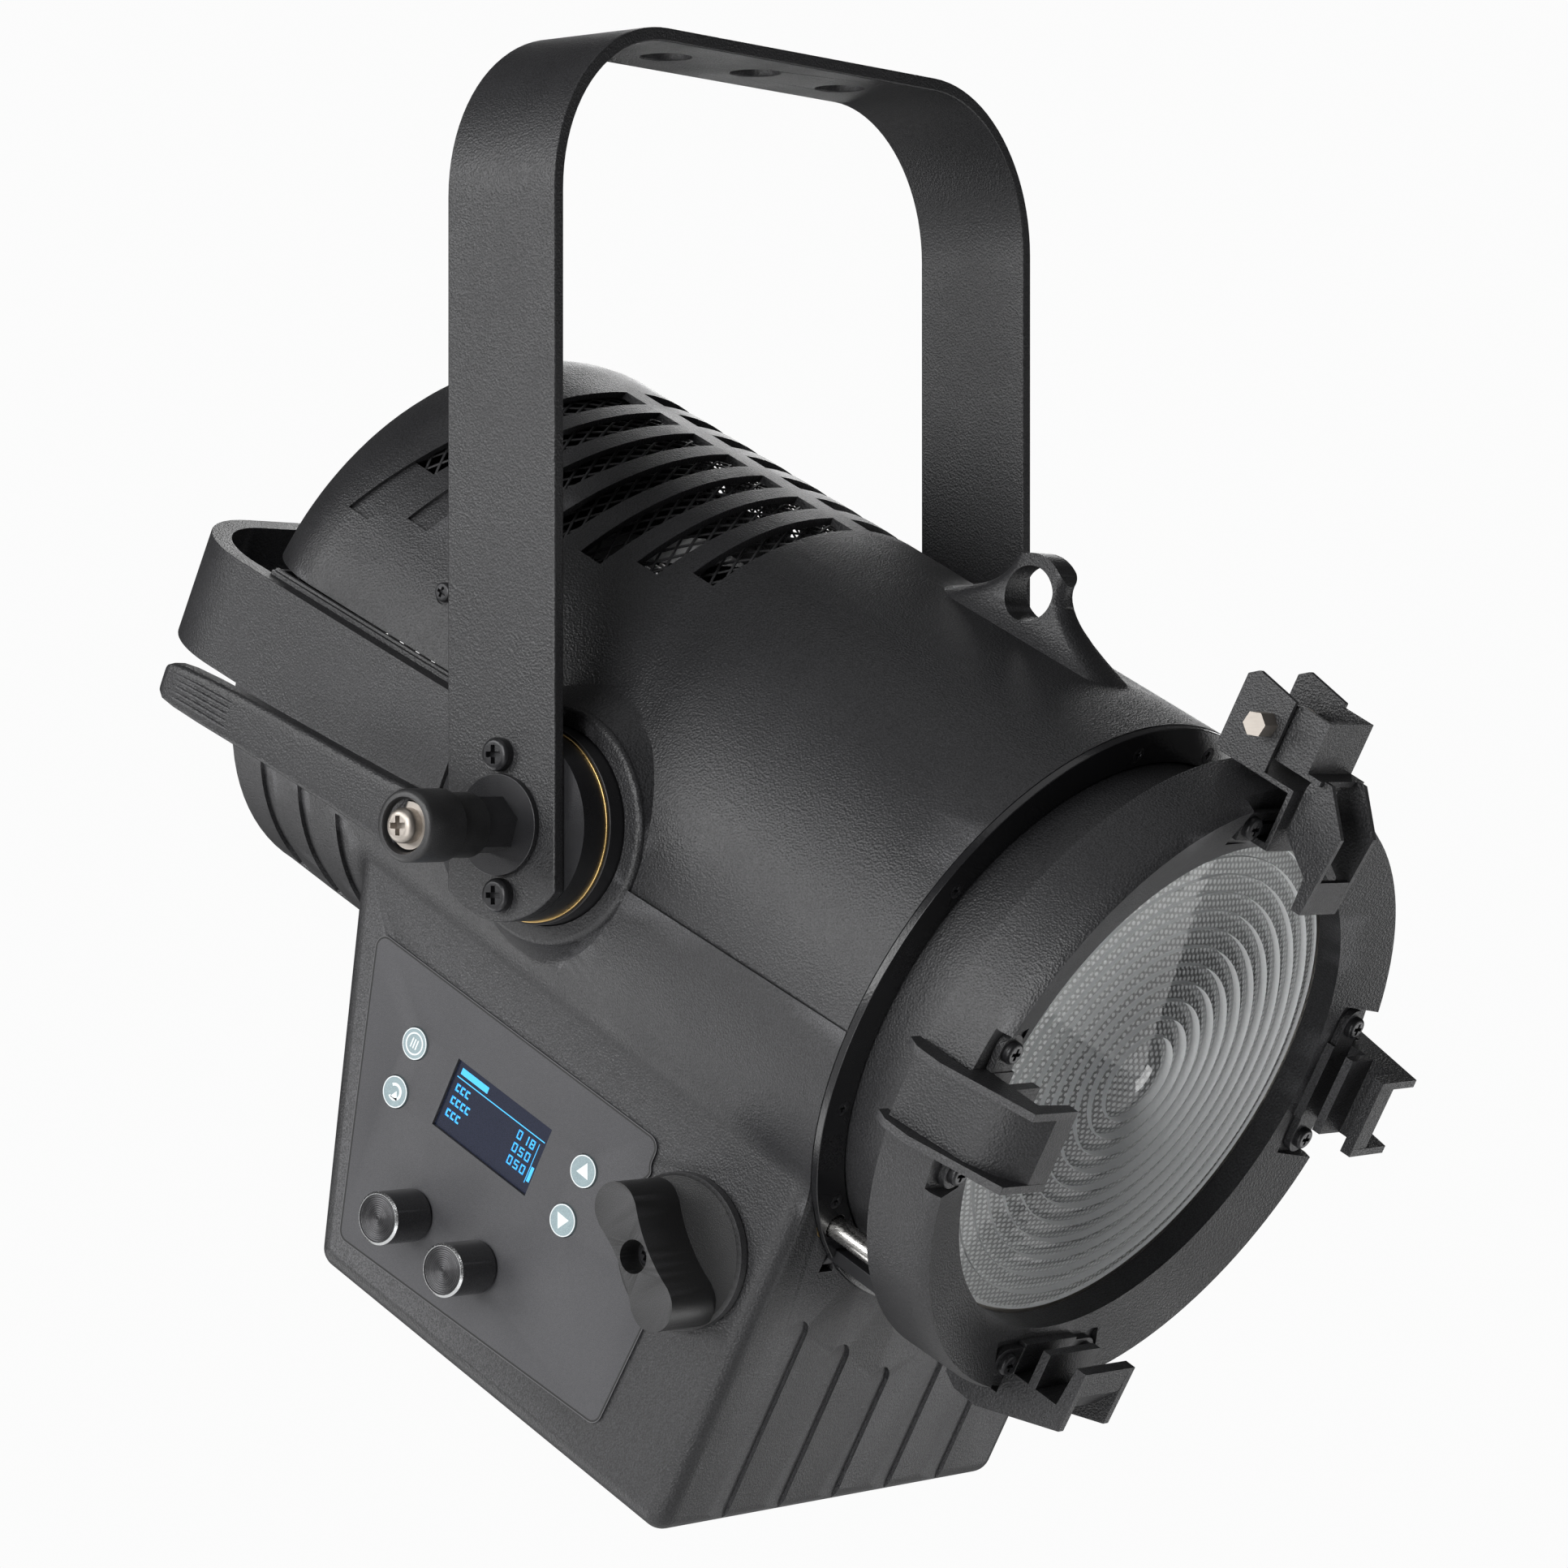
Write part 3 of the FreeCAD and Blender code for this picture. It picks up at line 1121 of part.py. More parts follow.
HEAD_PARTS = {
    "upper_housing": make_upper_housing,
    "lower_housing": make_lower_housing,
    "housing_screws": side_screws,
    "rear_handle": make_rear_handle,
    "rear_plate": make_rear_plate,
    "power_sockets": make_power_sockets,
    "data_sockets": make_data_sockets,
    "fuse_holder": make_fuse_holder,
    "trunnion_near": make_trunnion,
    "trunnion_far": lambda: mirrored(make_trunnion()),
    "friction_washers": make_friction_washers,
    "louvre_mesh": make_louvre_mesh,
    "led_board": make_led_board,
    "mixing_reflector": make_mixing_reflector,
    "heat_sink": make_heat_sink,
    "fan_frame": make_fan_frame,
    "fan_rotor": make_fan_rotor,
    "power_supply": make_power_supply,
    "driver_board": make_driver_board,
    "control_board": make_control_board,
    "control_overlay": make_control_overlay,
    "display_window": make_display_window,
    "zoom_bush": make_zoom_bush,
    "zoom_shaft": make_zoom_shaft,
    "zoom_pinion": make_zoom_pinion,
    "zoom_knob": make_zoom_knob,
    "zoom_knob_screw": make_knob_screw,
    "focus_rack": make_focus_rack,
    "front_flange": make_front_flange,
    "flange_screws": flange_screws,
    "guide_bushes": make_guide_bushes,
    "guide_rods": make_guide_rods,
    "lens_sleeve": make_lens_sleeve,
    "front_ring": make_front_ring,
    "fresnel_lens": make_fresnel_lens,
    "lens_clip_ring": make_lens_clip,
    "bracket_screws": make_bracket_screws,
    "latch_bracket": make_latch_bracket,
    "latch_pin": make_latch_pin,
    "latch_hook": make_latch_hook,
    "latch_spring": make_latch_spring,
}


def main():
    os.makedirs("parts", exist_ok=True)
    shapes = {name: hung(make()) for name, make in YOKE_PARTS.items()}
    shapes.update({name: tipped(make()) for name, make in HEAD_PARTS.items()})
    for name, turn in BRACKET_TURNS.items():
        shapes[name] = tipped(make_accessory_bracket(turn))
    for name, (a, v) in BUTTON_PLACES.items():
        shapes[name] = tipped(make_button(a, v))
    for name, (a, v) in ENCODER_PLACES.items():
        shapes[name] = tipped(make_encoder_knob(a, v))
    for name, shape in shapes.items():
        shape.exportStep("parts/" + name + ".step")
        print(name, len(shape.Solids), round(shape.Volume), shape.isValid())


main()
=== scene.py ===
import json
import math
import bmesh
import bpy
from mathutils import Matrix, Vector


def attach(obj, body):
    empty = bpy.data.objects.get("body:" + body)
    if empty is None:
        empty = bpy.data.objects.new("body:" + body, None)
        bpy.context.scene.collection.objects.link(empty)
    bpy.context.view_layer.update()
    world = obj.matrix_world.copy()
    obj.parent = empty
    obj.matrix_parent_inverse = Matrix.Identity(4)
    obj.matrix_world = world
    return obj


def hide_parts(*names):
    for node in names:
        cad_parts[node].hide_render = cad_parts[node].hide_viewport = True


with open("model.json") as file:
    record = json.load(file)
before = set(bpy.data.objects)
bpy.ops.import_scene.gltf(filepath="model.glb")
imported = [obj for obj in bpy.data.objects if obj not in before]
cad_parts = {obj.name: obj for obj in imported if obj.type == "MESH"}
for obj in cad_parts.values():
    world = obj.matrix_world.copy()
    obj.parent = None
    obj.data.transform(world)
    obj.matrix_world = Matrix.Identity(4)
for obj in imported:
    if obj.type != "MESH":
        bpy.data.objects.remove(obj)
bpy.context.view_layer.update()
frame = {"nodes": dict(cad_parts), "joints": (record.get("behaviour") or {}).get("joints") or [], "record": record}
NODES = frame["nodes"]
SLOT_OF = {s["node"]: s["material_slot"] for s in frame["record"]["subparts"]}

# ---- building frames: millimetres from the tilt axis ------------------------------------------------
# ARM: x across, y to the rear, z up.  HEAD: the same, turned with the head, so y runs along the optical axis.
PIVOT = next(j for j in frame["joints"] if j["name"] == "tilt")["pos_m"]
SLIDE_AXIS = next(j for j in frame["joints"] if j["name"] == "focus_slide")["axis"]
HEAD_TILT = math.atan2(-SLIDE_AXIS[2], -SLIDE_AXIS[1])
MM = 0.001
ARM = Matrix.Translation(PIVOT) @ Matrix.Scale(MM, 4)
HEAD = Matrix.Translation(PIVOT) @ Matrix.Rotation(HEAD_TILT, 4, "X") @ Matrix.Scale(MM, 4)


# ---- materials ------------------------------------------------------------------------------------
CLOUD_SCALE = 26.0                # broad patches, per metre
CLOUD_SHADES = (0.82, 1.2)        # how far the patches darken and lighten a coat
PAINTED_EDGE_HIGHLIGHT_AND_WEAR = (0.10, 0.10, 0.105)      # painted highlight on the convex edges of a black coat, broken up by noise like rubbed wear


def new_material(name):
    mat = bpy.data.materials.new(name)
    mat.use_nodes = True
    tree = mat.node_tree
    shader = tree.nodes["Principled BSDF"]
    coords = tree.nodes.new("ShaderNodeTexCoord")
    return mat, tree, shader, coords.outputs["Object"]


def texture(tree, kind, coords, scale, **settings):
    node = tree.nodes.new(kind)
    tree.links.new(coords, node.inputs["Vector"])
    node.inputs["Scale"].default_value = scale
    for key, value in settings.items():
        node.inputs[key].default_value = value
    return node


def ramp(tree, source, stops):
    """Colour ramp; stops are (place, grey level or colour)."""
    node = tree.nodes.new("ShaderNodeValToRGB")
    tree.links.new(source, node.inputs["Fac"])
    elements = node.color_ramp.elements
    while len(elements) < len(stops):
        elements.new(0.5)
    for element, (place, value) in zip(elements, stops):
        element.position = place
        colour = value if isinstance(value, tuple) else (value, value, value)
        element.color = (*colour, 1.0)
    return node.outputs["Color"]


def bump(tree, shader, height, strength, distance, below=None):
    node = tree.nodes.new("ShaderNodeBump")
    node.inputs["Strength"].default_value = strength
    node.inputs["Distance"].default_value = distance
    tree.links.new(height, node.inputs["Height"])
    if below is not None:
        tree.links.new(below, node.inputs["Normal"])
    tree.links.new(node.outputs["Normal"], shader.inputs["Normal"])
    return node.outputs["Normal"]


def blend_colours(tree, factor, low, high):
    node = tree.nodes.new("ShaderNodeMix")
    node.data_type = "RGBA"
    tree.links.new(factor, node.inputs["Factor"])
    for socket, value in ((node.inputs["A"], low), (node.inputs["B"], high)):
        if isinstance(value, tuple):
            socket.default_value = (*value, 1.0)
        else:
            tree.links.new(value, socket)
    return node.outputs["Result"]


def coat(name, colour, rough, grain, depth, metallic=0.0, edge_highlight_and_wear=PAINTED_EDGE_HIGHLIGHT_AND_WEAR, gloss=0.5, speck=0.15):
    """Paint or plastic: specks and fine grain, cloudy colour, uneven sheen, and convex edges painted a little
    lighter, a painted edge highlight broken up by noise like rubbed wear.
    """
    mat, tree, shader, coords = new_material(name)
    cells = texture(tree, "ShaderNodeTexVoronoi", coords, grain, Randomness=1.0)
    fine = texture(tree, "ShaderNodeTexNoise", coords, grain * 1.7, Detail=3.0, Roughness=0.6)
    clouds = texture(tree, "ShaderNodeTexNoise", coords, CLOUD_SCALE, Detail=5.0, Roughness=0.55)
    dark, light = ([tuple(c * cloud * (1 + side * speck) for c in colour) for cloud in CLOUD_SHADES]
                   for side in (-1, 1))
    specks = ramp(tree, fine.outputs["Fac"], [(0.38, 0.0), (0.62, 1.0)])
    body = blend_colours(tree, specks, blend_colours(tree, clouds.outputs["Fac"], *dark),
                         blend_colours(tree, clouds.outputs["Fac"], *light))
    geometry = tree.nodes.new("ShaderNodeNewGeometry")
    # convex edges, found by pointiness, get a painted edge highlight, broken up by the fine noise below like
    # rubbed wear
    edge = ramp(tree, geometry.outputs["Pointiness"], [(0.53, 0.0), (0.62, 1.0)])
    edge_highlight_and_wear_mask = tree.nodes.new("ShaderNodeMath")
    edge_highlight_and_wear_mask.operation = "MULTIPLY"
    tree.links.new(edge, edge_highlight_and_wear_mask.inputs[0])
    tree.links.new(ramp(tree, fine.outputs["Fac"], [(0.35, 0.1), (0.65, 0.8)]), edge_highlight_and_wear_mask.inputs[1])
    tree.links.new(blend_colours(tree, edge_highlight_and_wear_mask.outputs[0], body, edge_highlight_and_wear), shader.inputs["Base Color"])
    duller = ramp(tree, clouds.outputs["Fac"], [(0.3, rough - 0.03), (0.7, rough + 0.1)])
    shinier = ramp(tree, clouds.outputs["Fac"], [(0.3, rough - 0.1), (0.7, rough + 0.03)])
    sheen = blend_colours(tree, specks, duller, shinier)
    tree.links.new(sheen, shader.inputs["Roughness"])
    shader.inputs["Metallic"].default_value = metallic
    shader.inputs["Specular IOR Level"].default_value = gloss
    first = bump(tree, shader, cells.outputs["Distance"], 0.8, depth)
    bump(tree, shader, fine.outputs["Fac"], 0.6, depth, first)
    return mat


def metal(name, colour, rough, scratch_scale=(400.0, 30.0, 400.0)):
    """Bare or plated metal with drawn lines, faint stains and a roughness that varies."""
    mat, tree, shader, coords = new_material(name)
    stretch = tree.nodes.new("ShaderNodeMapping")
    stretch.inputs["Scale"].default_value = scratch_scale
    tree.links.new(coords, stretch.inputs["Vector"])
    lines = texture(tree, "ShaderNodeTexNoise", stretch.outputs["Vector"], 6.0, Detail=4.0)
    stains = texture(tree, "ShaderNodeTexNoise", coords, 90.0, Detail=4.0)
    dark = tuple(c * 0.8 for c in colour)
    tree.links.new(blend_colours(tree, stains.outputs["Fac"], dark, colour), shader.inputs["Base Color"])
    tree.links.new(ramp(tree, lines.outputs["Fac"], [(0.3, rough - 0.08), (0.7, rough + 0.1)]),
                   shader.inputs["Roughness"])
    shader.inputs["Metallic"].default_value = 1.0
    bump(tree, shader, lines.outputs["Fac"], 0.15, 0.00008)
    return mat


def board_finish(name, colour):
    mat, tree, shader, coords = new_material(name)
    tracks = texture(tree, "ShaderNodeTexVoronoi", coords, 260.0)
    tree.links.new(blend_colours(tree, ramp(tree, tracks.outputs["Distance"], [(0.2, 0.0), (0.5, 1.0)]),
                                 tuple(c * 0.6 for c in colour), colour), shader.inputs["Base Color"])
    shader.inputs["Roughness"].default_value = 0.35
    bump(tree, shader, tracks.outputs["Distance"], 0.3, 0.0001)
    return mat


MATS = {
    "black_coat": coat("powder_coat", (0.018, 0.018, 0.0195), 0.42, 1150.0, 0.00019, speck=0.55),
    "black_gloss": coat("gloss_coat", (0.010, 0.010, 0.011), 0.2, 900.0, 0.00003),
    "black_anodised": coat("anodised", (0.022, 0.022, 0.024), 0.33, 2600.0, 0.00003, metallic=0.35),
    "black_plastic": coat("moulded_plastic", (0.014, 0.014, 0.0145), 0.42, 2000.0, 0.00006),
    "grey_overlay": coat("printed_sheet", (0.021, 0.021, 0.025), 0.42, 3200.0, 0.00004),
    "button_grey": coat("key_plastic", (0.24, 0.31, 0.33), 0.5, 2200.0, 0.00003, edge_highlight_and_wear=(0.3, 0.38, 0.4)),
    "display_glass": coat("display_window", (0.002, 0.008, 0.022), 0.16, 1800.0, 0.00001,
                          edge_highlight_and_wear=(0.02, 0.02, 0.04)),
    "zinc_steel": metal("plated_steel", (0.46, 0.42, 0.38), 0.46),
    "ground_steel": metal("ground_steel", (0.66, 0.65, 0.63), 0.24),
    "brass": metal("turned_brass", (0.80, 0.55, 0.22), 0.32),
    "raw_aluminium": metal("extruded_aluminium", (0.62, 0.62, 0.63), 0.42),
    "tin_case": metal("case_sheet", (0.5, 0.5, 0.5), 0.45),
    "board_green": board_finish("solder_mask", (0.03, 0.16, 0.07)),
    "white_reflector": coat("white_reflector", (0.8, 0.8, 0.79), 0.4, 1200.0, 0.00003,
                            edge_highlight_and_wear=(0.85, 0.85, 0.85)),
    "black_mesh": coat("mesh_coat", (0.02, 0.02, 0.02), 0.45, 1500.0, 0.00006),
    "socket_blue": coat("socket_plastic", (0.02, 0.07, 0.22), 0.4, 1800.0, 0.00005, edge_highlight_and_wear=(0.05, 0.1, 0.25)),
}


GLASS_INDEX = 1.49


def lens_facets():
    """Clear pressed glass with faint mould ripples."""
    mat, tree, shader, coords = new_material("pressed_glass")
    ripples = texture(tree, "ShaderNodeTexNoise", coords, 160.0, Detail=3.0)
    tree.links.new(blend_colours(tree, ripples.outputs["Fac"], (0.80, 0.83, 0.85), (0.90, 0.92, 0.93)),
                   shader.inputs["Base Color"])
    shader.inputs["Transmission Weight"].default_value = 1.0
    shader.inputs["IOR"].default_value = GLASS_INDEX
    tree.links.new(ramp(tree, ripples.outputs["Fac"], [(0.3, 0.0), (0.7, 0.02)]),
                   shader.inputs["Roughness"])
    bump(tree, shader, ripples.outputs["Fac"], 0.05, 0.0003)
    return mat


MATS["lens_glass"] = lens_facets()
MATS["black_cast"] = MATS["black_coat"]


# ---- CAD nodes that stay: finish and softened edges ------------------------------------------------
NO_BEVEL = {"clamp_spring", "latch_spring", "fresnel_lens"}
# These have long flat faces, which stay even when they are split at their edges and not softened.
CRISP = {"control_overlay", "zoom_knob", "display_window", "rear_plate"}
CRISP_ANGLE = math.radians(25)
SOFTEN_ANGLE = math.radians(32)
EDGE_WIDTH = 0.35            # softened edge of a node that EDGE doesn't name
EDGE = {"upper_housing": 0.9, "lower_housing": 1.2, "front_ring": 1.0, "rear_handle": 1.6, "yoke_bar": 0.7,
        "yoke_hub_near": 0.6, "yoke_hub_far": 0.6}


def finish_node(name, node):
    """Material, even shading and softened edges; the node's own mesh stays as it is."""
    node.data.materials.clear()
    node.data.materials.append(MATS[SLOT_OF[name]])
    for polygon in node.data.polygons:
        polygon.use_smooth = True
    weld = node.modifiers.new("weld", "WELD")
    weld.merge_threshold = 0.00001
    if name in CRISP:
        split = node.modifiers.new("split", "EDGE_SPLIT")
        split.split_angle = CRISP_ANGLE
        return
    if name not in NO_BEVEL:
        bevel = node.modifiers.new("edge", "BEVEL")
        bevel.width = EDGE.get(name, EDGE_WIDTH) * MM
        bevel.segments = 2
        bevel.limit_method = "ANGLE"
        bevel.angle_limit = SOFTEN_ANGLE
        bevel.use_clamp_overlap = True
        bevel.face_strength_mode = "FSTR_ALL"
    even = node.modifiers.new("even", "WEIGHTED_NORMAL")
    even.weight = 70
    even.keep_sharp = True
    even.use_face_influence = name not in NO_BEVEL


for node_name, node_object in NODES.items():
    finish_node(node_name, node_object)


# ---- pieces built here ------------------------------------------------------------------------------
def new_piece(name, bm, place, body, materials, smooth=True):
    """Turns a bmesh in millimetres into a piece, in metres, that rides on a body."""
    bmesh.ops.recalc_face_normals(bm, faces=bm.faces)
    bm.transform(Matrix.Scale(MM, 4))
    mesh = bpy.data.meshes.new(name)
    bm.to_mesh(mesh)
    bm.free()
    for mat in materials:
        mesh.materials.append(mat)
    for polygon in mesh.polygons:
        polygon.use_smooth = smooth
    piece = bpy.data.objects.new(name, mesh)
    bpy.context.scene.collection.objects.link(piece)
    piece.matrix_world = place @ Matrix.Scale(1 / MM, 4)
    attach(piece, body)
    return piece


def lathe(bm, profile, steps, centre=(0.0, 0.0), material=None):
    """Turns (along, radius) points about the Y axis; material gives each stretch's index."""
    rings = []
    for along, r in profile:
        if r < 1e-6:
            rings.append([bm.verts.new((centre[0], along, centre[1]))])
            continue
        angles = [2 * math.pi * k / steps for k in range(steps)]
        rings.append([bm.verts.new((centre[0] + r * math.sin(t), along, centre[1] + r * math.cos(t)))
                      for t in angles])
    for index, (low, high) in enumerate(zip(rings, rings[1:])):
        for k in range(steps):
            n = (k + 1) % steps
            if len(low) == 1:
                face = bm.faces.new((low[0], high[n], high[k]))
            elif len(high) == 1:
                face = bm.faces.new((low[k], low[n], high[0]))
            else:
                face = bm.faces.new((low[k], low[n], high[n], high[k]))
            face.material_index = material[index] if material else 0


def slab(bm, outline, low, high, matrix=Matrix.Identity(4)):
    """Prism between x = low and x = high over (y, z) corners, as new faces of bm."""
    ends = [[bm.verts.new(matrix @ Vector((x, y, z))) for y, z in outline] for x in (low, high)]
    bm.faces.new(ends[0])
    bm.faces.new(list(reversed(ends[1])))
    for k in range(len(outline)):
        n = (k + 1) % len(outline)
        bm.faces.new((ends[0][k], ends[1][k], ends[1][n], ends[0][n]))


def ring_outline(r_out, r_in, low, high, bm, centre, steps=40):
    """Flat ring about the X axis, between x = low and x = high."""
    rows = []
    for x, r in ((low, r_out), (low, r_in), (high, r_in), (high, r_out)):
        turns = [2 * math.pi * k / steps for k in range(steps)]
        rows.append([bm.verts.new((x, centre[0] + r * math.cos(t), centre[1] + r * math.sin(t)))
                     for t in turns])
    for row, following in zip(rows, rows[1:] + rows[:1]):
        for k in range(steps):
            n = (k + 1) % steps
            bm.faces.new((row[k], row[n], following[n], following[k]))


# ---- Fresnel lens ------------------------------------------------------------------------------------
OPTIC = 3.0                  # height of the optical axis above the tilt axis
LENS_BACK = -187.0
LENS_RIM = -192.4
LENS_R = 100.6
LENS_RINGS = 11
BULL_R = 17.0
BULL_DEPTH = 4.6             # how far the bull's eye starts in front of the rim
BULL_DISH = 5.0
CREST_DEPTH = 2.6            # the innermost facet's inner edge, in front of the rim
CREST_STEP = 0.10            # each facet's inner edge lies this much nearer the rim than the last
RISER_WIDTH = 0.25
FACET_FOOT = 0.9             # the facets' outer edges, behind the rim
FACET_CURVE = 0.45           # how much of a facet's fall is curved
BULL_STEPS = 8
FACET_STEPS = 5
LENS_CLEAR_R = 96.0
LATTICE_PITCH = 2.5
DOME_CROWN = 0.62             # share of a cell that its crown covers; the crown carries a painted highlight
DOME_TOP = LENS_BACK - 0.25
DOME_EDGE = LENS_BACK + 0.05  # rim of the crown
DOME_FOOT = LENS_BACK + 0.6
BACKING = LENS_BACK + 0.75
GLOW_CENTRE = (22.0, -187.0, -8.0)    # centre of the painted light on the honeycomb, where its painted shade is darkest
GLOW_R = 140.0
LATTICE_PAINTED_GLOW = 0.24           # painted glow: emission that stands in for the light that the pressed glass passes on
SLIDE_BODY = "carriage"


def lens_profile():
    """Front of the lens from the centre out: a bull's eye, then curved facets with steep risers."""
    tip = LENS_RIM - BULL_DEPTH
    profile = [(tip, 0.0)]
    for k in range(1, BULL_STEPS + 1):
        profile.append((tip + BULL_DISH * (k / BULL_STEPS) ** 2, BULL_R * k / BULL_STEPS))
    kinds = [0] * BULL_STEPS
    step = (LENS_CLEAR_R - BULL_R) / LENS_RINGS
    for ring in range(LENS_RINGS):
        inner = BULL_R + step * ring
        crest = LENS_RIM - CREST_DEPTH + CREST_STEP * ring
        profile.append((crest, inner + RISER_WIDTH))
        kinds.append(1)
        for k in range(1, FACET_STEPS + 1):
            t = k / FACET_STEPS
            fall = (1 - FACET_CURVE) * t + FACET_CURVE * t * t
            profile.append((crest + (LENS_RIM + FACET_FOOT - crest) * fall, inner + step * t))
            kinds.append(0)
    back = LENS_BACK + 1.2
    profile += [(LENS_RIM, LENS_CLEAR_R + 0.3), (LENS_RIM, LENS_R), (back, LENS_R), (back, 0.0)]
    return profile, kinds + [1, 0, 0, 0]


def lens_risers():
    """Ground steps between the facets."""
    mat, tree, shader, coords = new_material("ground_steps")
    frost = texture(tree, "ShaderNodeTexNoise", coords, 900.0, Detail=3.0)
    tree.links.new(blend_colours(tree, frost.outputs["Fac"], (0.80, 0.82, 0.83), (0.94, 0.95, 0.95)),
                   shader.inputs["Base Color"])
    tree.links.new(ramp(tree, frost.outputs["Fac"], [(0.3, 0.4), (0.7, 0.6)]), shader.inputs["Roughness"])
    bump(tree, shader, frost.outputs["Fac"], 0.3, 0.0001)
    return mat


def painted_lattice_light(name, middle, edge):
    """Moulded honeycomb at the back of the lens: grey painted shade in the middle, and a bright painted highlight
    towards the edge, where the glass gathers light.
    """
    mat, tree, shader, coords = new_material(name)
    clouds = texture(tree, "ShaderNodeTexNoise", coords, 22.0, Detail=3.0)
    glow = tree.nodes.new("ShaderNodeTexGradient")
    glow.gradient_type = "SPHERICAL"
    spread = tree.nodes.new("ShaderNodeMapping")
    spread.vector_type = "TEXTURE"
    spread.inputs["Location"].default_value = tuple(MM * c for c in GLOW_CENTRE)
    spread.inputs["Scale"].default_value = (MM * GLOW_R,) * 3
    tree.links.new(coords, spread.inputs["Vector"])
    tree.links.new(spread.outputs["Vector"], glow.inputs["Vector"])
    # painted light: the colour brightens from the painted shade round GLOW_CENTRE to a painted highlight towards
    # the lens edge
    near = ramp(tree, glow.outputs["Fac"], [(0.0, 1.0), (0.3, 0.65), (0.6, 0.0)])
    inner = blend_colours(tree, clouds.outputs["Fac"], middle, tuple(1.3 * c for c in middle))
    outer = blend_colours(tree, clouds.outputs["Fac"], edge, tuple(1.15 * c for c in edge))
    shade = blend_colours(tree, near, inner, outer)
    tree.links.new(shade, shader.inputs["Base Color"])
    # painted glow: the honeycomb is no lamp, yet the same colour is also emitted
    tree.links.new(shade, shader.inputs["Emission Color"])
    shader.inputs["Emission Strength"].default_value = LATTICE_PAINTED_GLOW
    tree.links.new(ramp(tree, clouds.outputs["Fac"], [(0.3, 0.14), (0.7, 0.24)]), shader.inputs["Roughness"])
    shader.inputs["Specular IOR Level"].default_value = 0.9
    bump(tree, shader, clouds.outputs["Fac"], 0.1, 0.0002)
    return mat


def make_lens():
    profile, kinds = lens_profile()
    bm = bmesh.new()
    lathe(bm, profile, 192, (0.0, OPTIC), kinds)
    piece = new_piece("lens_rings", bm, HEAD, SLIDE_BODY, [MATS["lens_glass"], lens_risers()])
    sharp = piece.modifiers.new("sharp", "EDGE_SPLIT")
    sharp.split_angle = math.radians(28)
    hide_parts("fresnel_lens")


def make_lattice():
    """Honeycomb of small domes over a disc just behind the lens."""
    bm = bmesh.new()
    r = LATTICE_PITCH / math.sqrt(3)
    crown = DOME_CROWN * r
    row_step = LATTICE_PITCH * math.sqrt(0.75)
    reach = int(LENS_CLEAR_R / row_step) + 1
    for row in range(-reach, reach + 1):
        for column in range(-reach, reach + 1):
            x = LATTICE_PITCH * (column + 0.5 * (row % 2))
            z = row_step * row
            if math.hypot(x, z) > LENS_CLEAR_R - 0.5:
                continue
            top = bm.verts.new((x, DOME_TOP, z + OPTIC))
            mid, rim = [], []
            for k in range(6):
                t = math.radians(60 * k + 30)
                c, s = math.cos(t), math.sin(t)
                mid.append(bm.verts.new((x + crown * c, DOME_EDGE, z + OPTIC + crown * s)))
                rim.append(bm.verts.new((x + r * c, DOME_FOOT, z + OPTIC + r * s)))
            for k in range(6):
                n = (k + 1) % 6
                bm.faces.new((top, mid[k], mid[n]))
                # each cell's sloping rim takes the second material, painted shade in the valleys; the crown takes
                # the first, a painted highlight
                bm.faces.new((mid[k], rim[k], rim[n], mid[n])).material_index = 1
    bmesh.ops.remove_doubles(bm, verts=bm.verts, dist=0.02)
    lathe(bm, [(BACKING, 0.0), (BACKING, LENS_R - 1)], 64, (0.0, OPTIC))
    # lit and shaded copies of one finish: a painted highlight on the crowns, painted shade in the valleys
    domes = painted_lattice_light("honeycomb_crowns_painted_highlight", (0.28, 0.28, 0.28), (0.82, 0.82, 0.81))
    valleys = painted_lattice_light("honeycomb_valleys_painted_shade", (0.05, 0.05, 0.05), (0.52, 0.52, 0.51))
    new_piece("lens_honeycomb", bm, HEAD, SLIDE_BODY, [domes, valleys])


# ---- control panel -----------------------------------------------------------------------------------
PANEL_FACE = -101.8
KEY_FACE = PANEL_FACE - 0.7
SIGN_FACE = KEY_FACE - 0.06
SIGN_FOOT = KEY_FACE + 0.02
KEYS = {"menu": (30.3, -108.5), "back": (30.3, -129.0), "left": (-61.6, -107.8), "right": (-61.6, -128.3)}
SCREEN_Y = (-41.5, 9.3)      # front and rear edge of the window
SCREEN_TOP = -102.7
ROW_PITCH = 5.2
LABEL_PITCH = 2.6
LABEL_HEIGHT = 3.0
LABEL_PEN = 0.7
FIGURE_PITCH = 3.4
WINDOW_FACE = -100.6
LEVEL = (math.cos(HEAD_TILT), -math.sin(HEAD_TILT))    # level and to the rear, for the head as it hangs


def printed_white():
    return coat("printed_white", (0.66, 0.70, 0.71), 0.55, 2500.0, 0.00002, edge_highlight_and_wear=(0.7, 0.74, 0.75))


def lit(name, colour, strength):
    """Back-lit display segments with a faint dot grid."""
    mat, tree, shader, coords = new_material(name)
    grid = texture(tree, "ShaderNodeTexVoronoi", coords, 2200.0, Randomness=0.0)
    shade = blend_colours(tree, grid.outputs["Distance"], colour, tuple(c * 0.8 for c in colour))
    tree.links.new(shade, shader.inputs["Base Color"])
    tree.links.new(shade, shader.inputs["Emission Color"])
    shader.inputs["Emission Strength"].default_value = strength
    shader.inputs["Roughness"].default_value = 0.3
    return mat


